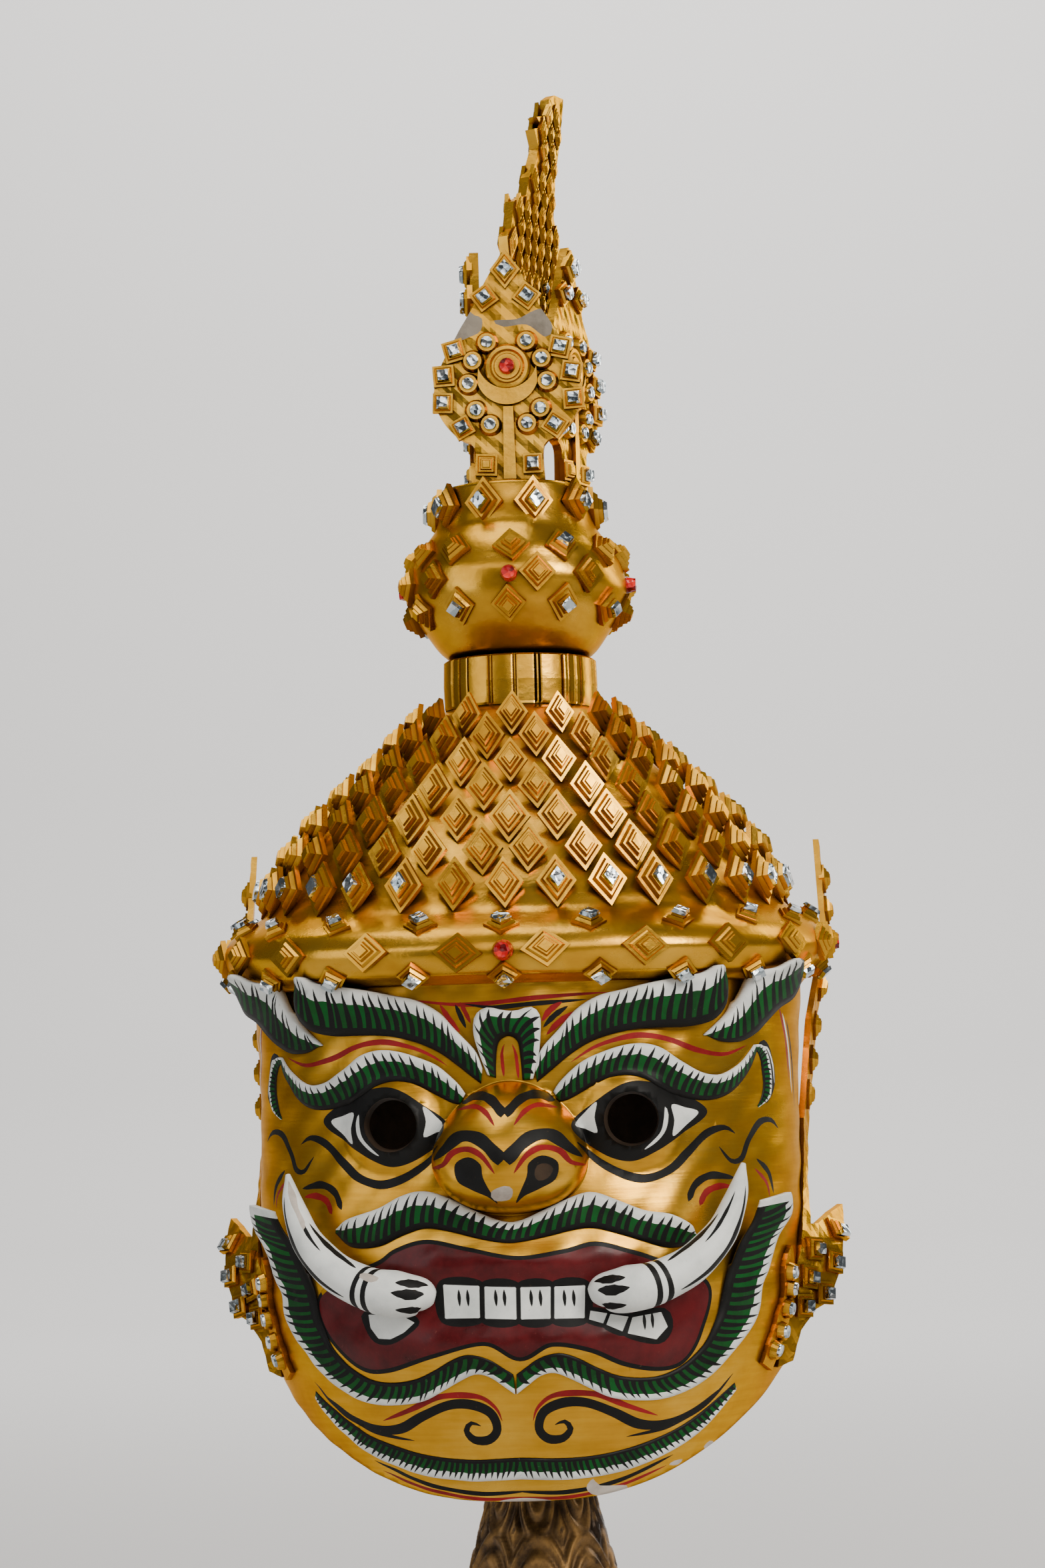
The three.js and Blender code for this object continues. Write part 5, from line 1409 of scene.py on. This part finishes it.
# Flame blade: a tall leather blade behind the plaques, turned so that it shows its edge. Both faces are
# built up with slender slips of gilded lacquer and a few small mirrors; its front edge breaks into hooks.
BLADE_EDGES = [(0, -10, 12), (21, -10, 13), (28, -15, 24), (46, -17, 34), (66, -12, 41), (84, -8, 44.5),
               (100, -3, 43), (112, -5, 41.5), (116, -1, 41), (129, 2, 37.5), (134, 13, 38), (143, 16, 39.5),
               (147, 19.5, 40), (158, 25, 43), (166, 21.5, 45), (168.5, 29, 46), (172, 24, 46.5),
               (175, 33, 47), (183, 36, 48.5), (186, 41, 49)]
BLADE_THICK, BLADE_TURN = 4.6, -0.45
BLADE_SLIP_PITCH, BLADE_SLIP_WIDE = 8.0, 5.6
BLADE_SLIPS_LOW, BLADE_SLIPS_HIGH, BLADE_MIRRORS_HIGH = 30.0, 180.0, 100
BLADE_FRONT_MARGIN, BLADE_REAR_MARGIN = 2.5, 2.0
BLADE_SLIP_HALF, BLADE_SLIP_TILTS, BLADE_SLIP_LEAN = (3.0, 7.6), (-7, 7), 8
BLADE_SLAB, BLADE_STEP = 2.0, 0.6
BLADE_MIRROR_HALF, BLADE_MIRROR_OUT = (2.2, 2.8), 2.6
BLADE_GRID, BLADE_WAVE = 3.0, 0.3


def place_blade(along, height, out=0.0):
    c, s = math.cos(BLADE_TURN), math.sin(BLADE_TURN)
    return points_of(out * c - along * s, out * s + along * c, height + PLAQUE_FOOT + MASK_ZERO)


def place_blade_back(along, height, out=0.0):
    return place_blade(along, height, -out)


heights, fronts, rears = np.array(BLADE_EDGES, float).T
blade_outline = between(points_of(fronts, heights)[::-1], points_of(rears, heights)[::-1])
blade_parts = [slab(blade_outline, place_blade, -BLADE_THICK / 2, BLADE_THICK / 2, BLADE_GRID, (),
                    BLADE_WAVE)]
blade_seats, blade_chips = [], []
for face in (place_blade, place_blade_back):
    for row, height in enumerate(np.arange(BLADE_SLIPS_LOW, BLADE_SLIPS_HIGH, BLADE_SLIP_PITCH)):
        front = float(np.interp(height, heights, fronts)) + BLADE_FRONT_MARGIN
        rear = float(np.interp(height, heights, rears)) - BLADE_REAR_MARGIN
        count = max(1, int((rear - front) / BLADE_SLIP_WIDE))
        for k in range(count):
            along = front + (rear - front) * (k + 0.5 + 0.25 * (row % 2 * 2 - 1)) / count
            here = face, along, height
            directions = frame_at(*here, chance.uniform(*BLADE_SLIP_TILTS) - BLADE_SLIP_LEAN)
            blade_seats.append(spot_on(*here, BLADE_THICK / 2, directions, *BLADE_SLIP_HALF))
            if (k + row) % 4 == 0 and height < BLADE_MIRRORS_HIGH:
                glass_out = BLADE_THICK / 2 + BLADE_MIRROR_OUT
                blade_chips.append(spot_on(*here, glass_out, directions, *BLADE_MIRROR_HALF))
blade = joined("flame_blade_leather", blade_parts, [crown_gold])
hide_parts("flame_blade")
blade_settings = dict(seat_settings, Slab=BLADE_SLAB * MM, Step=BLADE_STEP * MM)
blade_tiles = scattered("blade_tiles", tile_tree, blade_seats, blade_settings)
blade_glass = scattered("blade_mirrors", chip_tree, blade_chips, chip_settings)
for piece, slot_name in ((blade, "gilt_leather"), (blade_tiles, "gilt_leather"),
                         (blade_glass, "mirror_glass")):
    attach(piece, "root")


# Red stones: round cut glass with foil behind it, one at each quarter of the brim and of the bulb, and one on
# the ring boss of the front plaque.
STONE_SIDES, STONE_THICK, STONE_EDGE, STONE_SINK = 12, 5.0, 0.74, 0.3
# Tones of the stones' facets, from dark to bright red: painted glints; the middle one is also the glass's
# body colour.
RED_GLASS = [(0.2, (0.10, 0.0, 0.002, 1)), (0.5, (0.42, 0.004, 0.006, 1)), (0.85, (0.80, 0.03, 0.02, 1))]
red_glass = cut_glass("red_foiled_glass", RED_GLASS[1][1], 0.0, RED_GLASS, 420.0, (700.0, 4.0),
                      (0.35, 0.75, 0.05, 0.3), (0.6, 0.0012), Specular_IOR_Level=0.25, Coat_Weight=0.12)
stone_names = [f"red_stone_{where}_{k}" for where in ("brim", "bulb") for k in (1, 2, 3, 4)]
stone_names.append("red_stone_plaque")
stone_spots = []
for stone_name in stone_names:
    angle = 0.0 if stone_name.endswith("plaque") else (int(stone_name[-1]) - 1) * math.pi / 2
    out, across = outward(angle)
    corners = np.array(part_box(stone_name)) / MM
    half = (corners[1] - corners[0]) / 2
    middle = corners.mean(0) + out * (np.abs(out * half).sum() - STONE_THICK / 2 - STONE_SINK)
    stone_spots.append((middle, across, (0, 0, 1), half[2], half[2]))
stone_settings = {"Sides": STONE_SIDES, "Thickness": STONE_THICK * MM, "Edge": STONE_EDGE,
                  "Finish": red_glass}
stones = scattered("red_stones", chip_tree, stone_spots, stone_settings)
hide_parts(*stone_names)
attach(stones, "root")


# Tusks: carved wood painted ivory white, glued to the corners of the mouth and curving up past the cheeks.
# Two black rings mark the gum, with long black strokes up the tusk and short ones on its root.
TUSK = [(31, 97, 126, 3.2), (36, 100, 127, 7.2), (46, 101, 128, 9.2), (59, 104, 124, 8.4),
        (72, 111, 118, 7.6), (83, 123, 111, 6.2), (89, 137, 104, 4.2), (91.5, 148, 99, 1.0)]
TUSK_ROWS = 80
TUSK_GIRTH = 8.0
TUSK_RINGS = [0.37, 0.415]
TUSK_STROKES = [(1.7, [(0.46, 50), (0.56, 60), (0.66, 58), (0.74, 48)]),
                (1.8, [(0.46, -46), (0.6, -56), (0.75, -54), (0.88, -40)]),
                (1.9, [(0.12, 52), (0.19, 38), (0.28, 34)]), (2.0, [(0.13, 14), (0.2, 5), (0.29, 7)]),
                (1.9, [(0.1, -36), (0.17, -44), (0.27, -36)]), (1.0, [(0.62, 24), (0.74, 20), (0.84, 14)])]
TUSK_CHIPS = [[(0.72, 14), (0.75, 33), (0.81, 29), (0.87, 37), (0.93, 22), (0.96, 4), (0.90, -8), (0.83, 0),
               (0.79, 9)],
              [(0.34, 40), (0.41, 44), (0.42, 28), (0.36, 22)]]
TUSK_ROOT, TUSK_LUMPS = 0.045, 0.02
TUSK_SIDE_POINTS, TUSK_END_POINTS, TUSK_GRID = 60, 24, (1.8, 2.2)
TUSK_RING_WIDTH, TUSK_RING_SAG, TUSK_RING_POINTS, TUSK_CLEAR = 1.05, 1.3, 30, 0.02
share_of = np.linspace(0, 1, TUSK_ROWS)
knots = np.arange(len(TUSK)) / (len(TUSK) - 1)
tusk_x, tusk_z, tusk_y, tusk_radius = (eased(share_of, knots, column) for column in np.array(TUSK, float).T)
tusk_line = points_of(tusk_x, -tusk_y, tusk_z + MASK_ZERO)
tusk_radius = tusk_radius * np.clip(share_of / TUSK_ROOT, 0, 1) ** 0.5
tusk_along = np.gradient(tusk_line, axis=0)
tusk_along /= np.linalg.norm(tusk_along, axis=1)[:, None]
tusk_front = np.array([0, -1.0, 0]) - tusk_along * (tusk_along @ np.array([0, -1.0, 0]))[:, None]
tusk_front /= np.linalg.norm(tusk_front, axis=1)[:, None]
tusk_up = np.cross(tusk_along, tusk_front)
tusk_length = float(np.linalg.norm(np.diff(tusk_line, axis=0), axis=1).sum())


def on_tusk(flat):
    """Points of the tusk for places along it and round it, in millimetres of its middle girth."""
    read = reader(np.clip(flat[:, 0] / tusk_length, 0, 1) * (TUSK_ROWS - 1), TUSK_ROWS)
    turn_by = (flat[:, 1] / TUSK_GIRTH)[:, None]
    lumps = 1 + TUSK_LUMPS * np.sin(flat[:, :1] * 0.4) * np.sin(turn_by * 3)
    reach = read(tusk_radius[:, None]) * lumps
    return read(tusk_line) + reach * (np.cos(turn_by) * read(tusk_front) - np.sin(turn_by) * read(tusk_up))


def tusk_curve(spots, step, closed=False):
    """A smooth line on the tusk through spots given by their share of its length and degrees round it."""
    places = [(share * tusk_length, math.radians(degrees) * TUSK_GIRTH) for share, degrees in spots]
    return flowing(places, step, closed)


half_girth = math.pi * TUSK_GIRTH
tusk_edge = ring(points_of(np.linspace(0, tusk_length, TUSK_SIDE_POINTS), -half_girth),
                 points_of(tusk_length, np.linspace(-half_girth, half_girth, TUSK_END_POINTS)),
                 points_of(np.linspace(tusk_length, 0, TUSK_SIDE_POINTS), half_girth),
                 points_of(0, np.linspace(half_girth, -half_girth, TUSK_END_POINTS)))
tusk_grid = np.stack(np.meshgrid(np.arange(1, tusk_length, TUSK_GRID[0]),
                                 np.arange(-half_girth + 1, half_girth, TUSK_GRID[1])), -1).reshape(-1, 2)
tusk_corner = np.array([tusk_length - TUSK_CLEAR, half_girth - TUSK_CLEAR])
for name, node_name, side in (("right_tusk", "tusk_right", 1), ("left_tusk", "tusk_left", -1)):
    regions = []
    for share in TUSK_RINGS:
        sag = TUSK_RING_SAG * np.cos(np.linspace(-3.1, 3.1, TUSK_RING_POINTS))
        line = points_of(share * tusk_length + sag,
                         np.linspace(-half_girth + 0.05, half_girth - 0.05, TUSK_RING_POINTS))
        regions.append((brushed(line, TUSK_RING_WIDTH, (0, 0)), BLACK))
    regions += [(brushed(tusk_curve(spots, 1.2), width, (0.4, 0.4)), BLACK) for width, spots in TUSK_STROKES]
    if side < 0:
        regions += [(tusk_curve(chip, 1.5, True), PAPER) for chip in TUSK_CHIPS]
    regions = [(np.clip(region, [TUSK_CLEAR, -tusk_corner[1]], tusk_corner), paint)
               for region, paint in regions]
    flat, triangles, finish = painted_sheet(tusk_edge, tusk_grid, regions, WHITE)
    tusk = joined(name, [(on_tusk(flat) * [side, 1, 1], triangles, finish)], face_finishes, True)
    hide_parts(node_name)
    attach(tusk, "root")


# Ear ornaments: gilded leather sewn along the edge of the mask, a fan of stepped squares and mirrors below
# and a tall flame above, which stand back from the face and show mostly their edges. In front of each fan a
# strip of the same leather, with a row of round mirrors in gilt buttons, is glued to the cheek.
EAR_OUTLINE = [(-6, 64), (3, 66), (5, 78), (12, 86), (20, 89), (24, 102), (26, 115), (32, 128), (20, 125),
               (9, 121), (3, 121), (2, 140), (6, 158), (20, 172), (30, 194), (35, 222), (33, 250), (26, 288),
               (21, 262), (17, 240), (9, 220), (2, 195), (-4, 165), (-3, 125)]
EAR_SEAM = [(64, 104.5, -46), (113, 114.0, -33), (165, 114.6, 10), (207, 118, 20), (245, 125, 26),
            (288, 122.2, 30)]
EAR_THICK, EAR_FLARE_LOW, EAR_FLARE_HIGH, EAR_FLARE_FROM, EAR_FLARE_TO = 2.6, 0.75, 0.1, 90.0, 180.0
EAR_STEP, EAR_GRID, EAR_WAVE, CHEEK_WAVE, CHEEK_SUNK = 3, 3.0, 0.3, 0.2, -0.4
FLAME_HALF, FLAME_TILTS = (4.0, 6.5), (-10, 10)
SQUARE_HALF, SQUARE_OUT, SQUARE_TURN, SQUARE_TILTS = (6.6, 6.6), 0.4, 45, (-8, 8)
SQUARE_MIRROR_HALF, SQUARE_MIRROR_OUT = (3.8, 3.8), 4.2
EAR_SQUARES = [(22, 118), (19, 105), (15, 92.5), (5, 111), (4, 99.5), (3.5, 88)]
EAR_FLAMES = [(4, 175), (12, 190), (20, 205), (24, 222), (26, 240), (26, 256), (26, 270)]
CHEEK_BUTTONS = [(1178, 1908), (1178, 1933), (1173, 1963), (1165, 1997), (1155, 2025)]
CHEEK_TOP, CHEEK_FOOT = (1181, 1868), (1145, 2050)
CHEEK_HALF_WIDTH, CHEEK_THICK, CHEEK_STEP = 6.2, 2.2, 8
CHEEK_BUTTON, CHEEK_BUTTON_OUT, CHEEK_BUTTON_EDGE = (4.6, 4.6), 0.6, 0.75
CHEEK_MIRROR, CHEEK_MIRROR_OUT = (3.0, 3.0), 2.6
ear_heights, ear_sides, ear_backs = np.array(EAR_SEAM, float).T


def place_ear(back, height, out=0.0):
    t = np.clip((height - EAR_FLARE_FROM) / (EAR_FLARE_TO - EAR_FLARE_FROM), 0, 1)
    flare = EAR_FLARE_LOW + (EAR_FLARE_HIGH - EAR_FLARE_LOW) * t * t * (3 - 2 * t)
    return points_of(np.interp(height, ear_heights, ear_sides) + np.sin(flare) * back + np.cos(flare) * out,
                     np.interp(height, ear_heights, ear_backs) + np.cos(flare) * back - np.sin(flare) * out,
                     height + MASK_ZERO)


def mirrored(place_of):
    return lambda x, height, out=0.0: place_of(x, height, out) * [-1, 1, 1]


cheek_settings = dict(button_settings, Edge=CHEEK_BUTTON_EDGE)
cheek_buttons = seen_on_head(CHEEK_BUTTONS)
cheek_line = shape([CHEEK_TOP] + CHEEK_BUTTONS + [CHEEK_FOOT], CHEEK_STEP, False)
cheek_strip = brushed(cheek_line, CHEEK_HALF_WIDTH, (0.2, 0))
ear_line = []
for a, b in zip(np.array(EAR_OUTLINE, float), np.roll(np.array(EAR_OUTLINE, float), -1, axis=0)):
    count = max(1, int(math.hypot(*(b - a)) / EAR_STEP))
    ear_line += [a + (b - a) * i / count for i in range(count)]
for name, node_name, face, cheek in (("right_ear_leather", "ear_ornament_right", place_ear, on_head),
                                     ("left_ear_leather", "ear_ornament_left", mirrored(place_ear),
                                      mirrored(on_head))):
    ear = joined(name, [slab(ear_line, face, 0.0, EAR_THICK, EAR_GRID, (), EAR_WAVE),
                        slab(cheek_strip, cheek, CHEEK_SUNK, CHEEK_THICK, EAR_GRID, (), CHEEK_WAVE)],
                 [crown_gold])
    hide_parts(node_name)
    squares, chips, buttons, round_chips = [], [], [], []
    for back, height in EAR_FLAMES:
        directions = frame_at(face, back, height, chance.uniform(*FLAME_TILTS))
        squares.append(spot_on(face, back, height, EAR_THICK, directions, *FLAME_HALF))
    for back, height in EAR_SQUARES:
        here = face, back, height
        directions = frame_at(*here, SQUARE_TURN + chance.uniform(*SQUARE_TILTS))
        squares.append(spot_on(*here, EAR_THICK + SQUARE_OUT, directions, *SQUARE_HALF))
        chips.append(spot_on(*here, EAR_THICK + SQUARE_MIRROR_OUT, directions, *SQUARE_MIRROR_HALF))
    for along, height in cheek_buttons:
        here = cheek, along, height
        directions = frame_at(*here)
        buttons.append(spot_on(*here, CHEEK_THICK + CHEEK_BUTTON_OUT, directions, *CHEEK_BUTTON))
        round_chips.append(spot_on(*here, CHEEK_THICK + CHEEK_MIRROR_OUT, directions, *CHEEK_MIRROR))
    ear_gold = [ear, scattered(name + "_squares", tile_tree, squares, seat_settings),
                scattered(name + "_buttons", chip_tree, buttons, cheek_settings)]
    ear_glass = [scattered(name + "_mirrors", chip_tree, chips, chip_settings),
                 scattered(name + "_round_mirrors", chip_tree, round_chips, round_settings)]
    for piece in ear_gold:
        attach(piece, "root")
    for piece in ear_glass:
        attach(piece, "root")
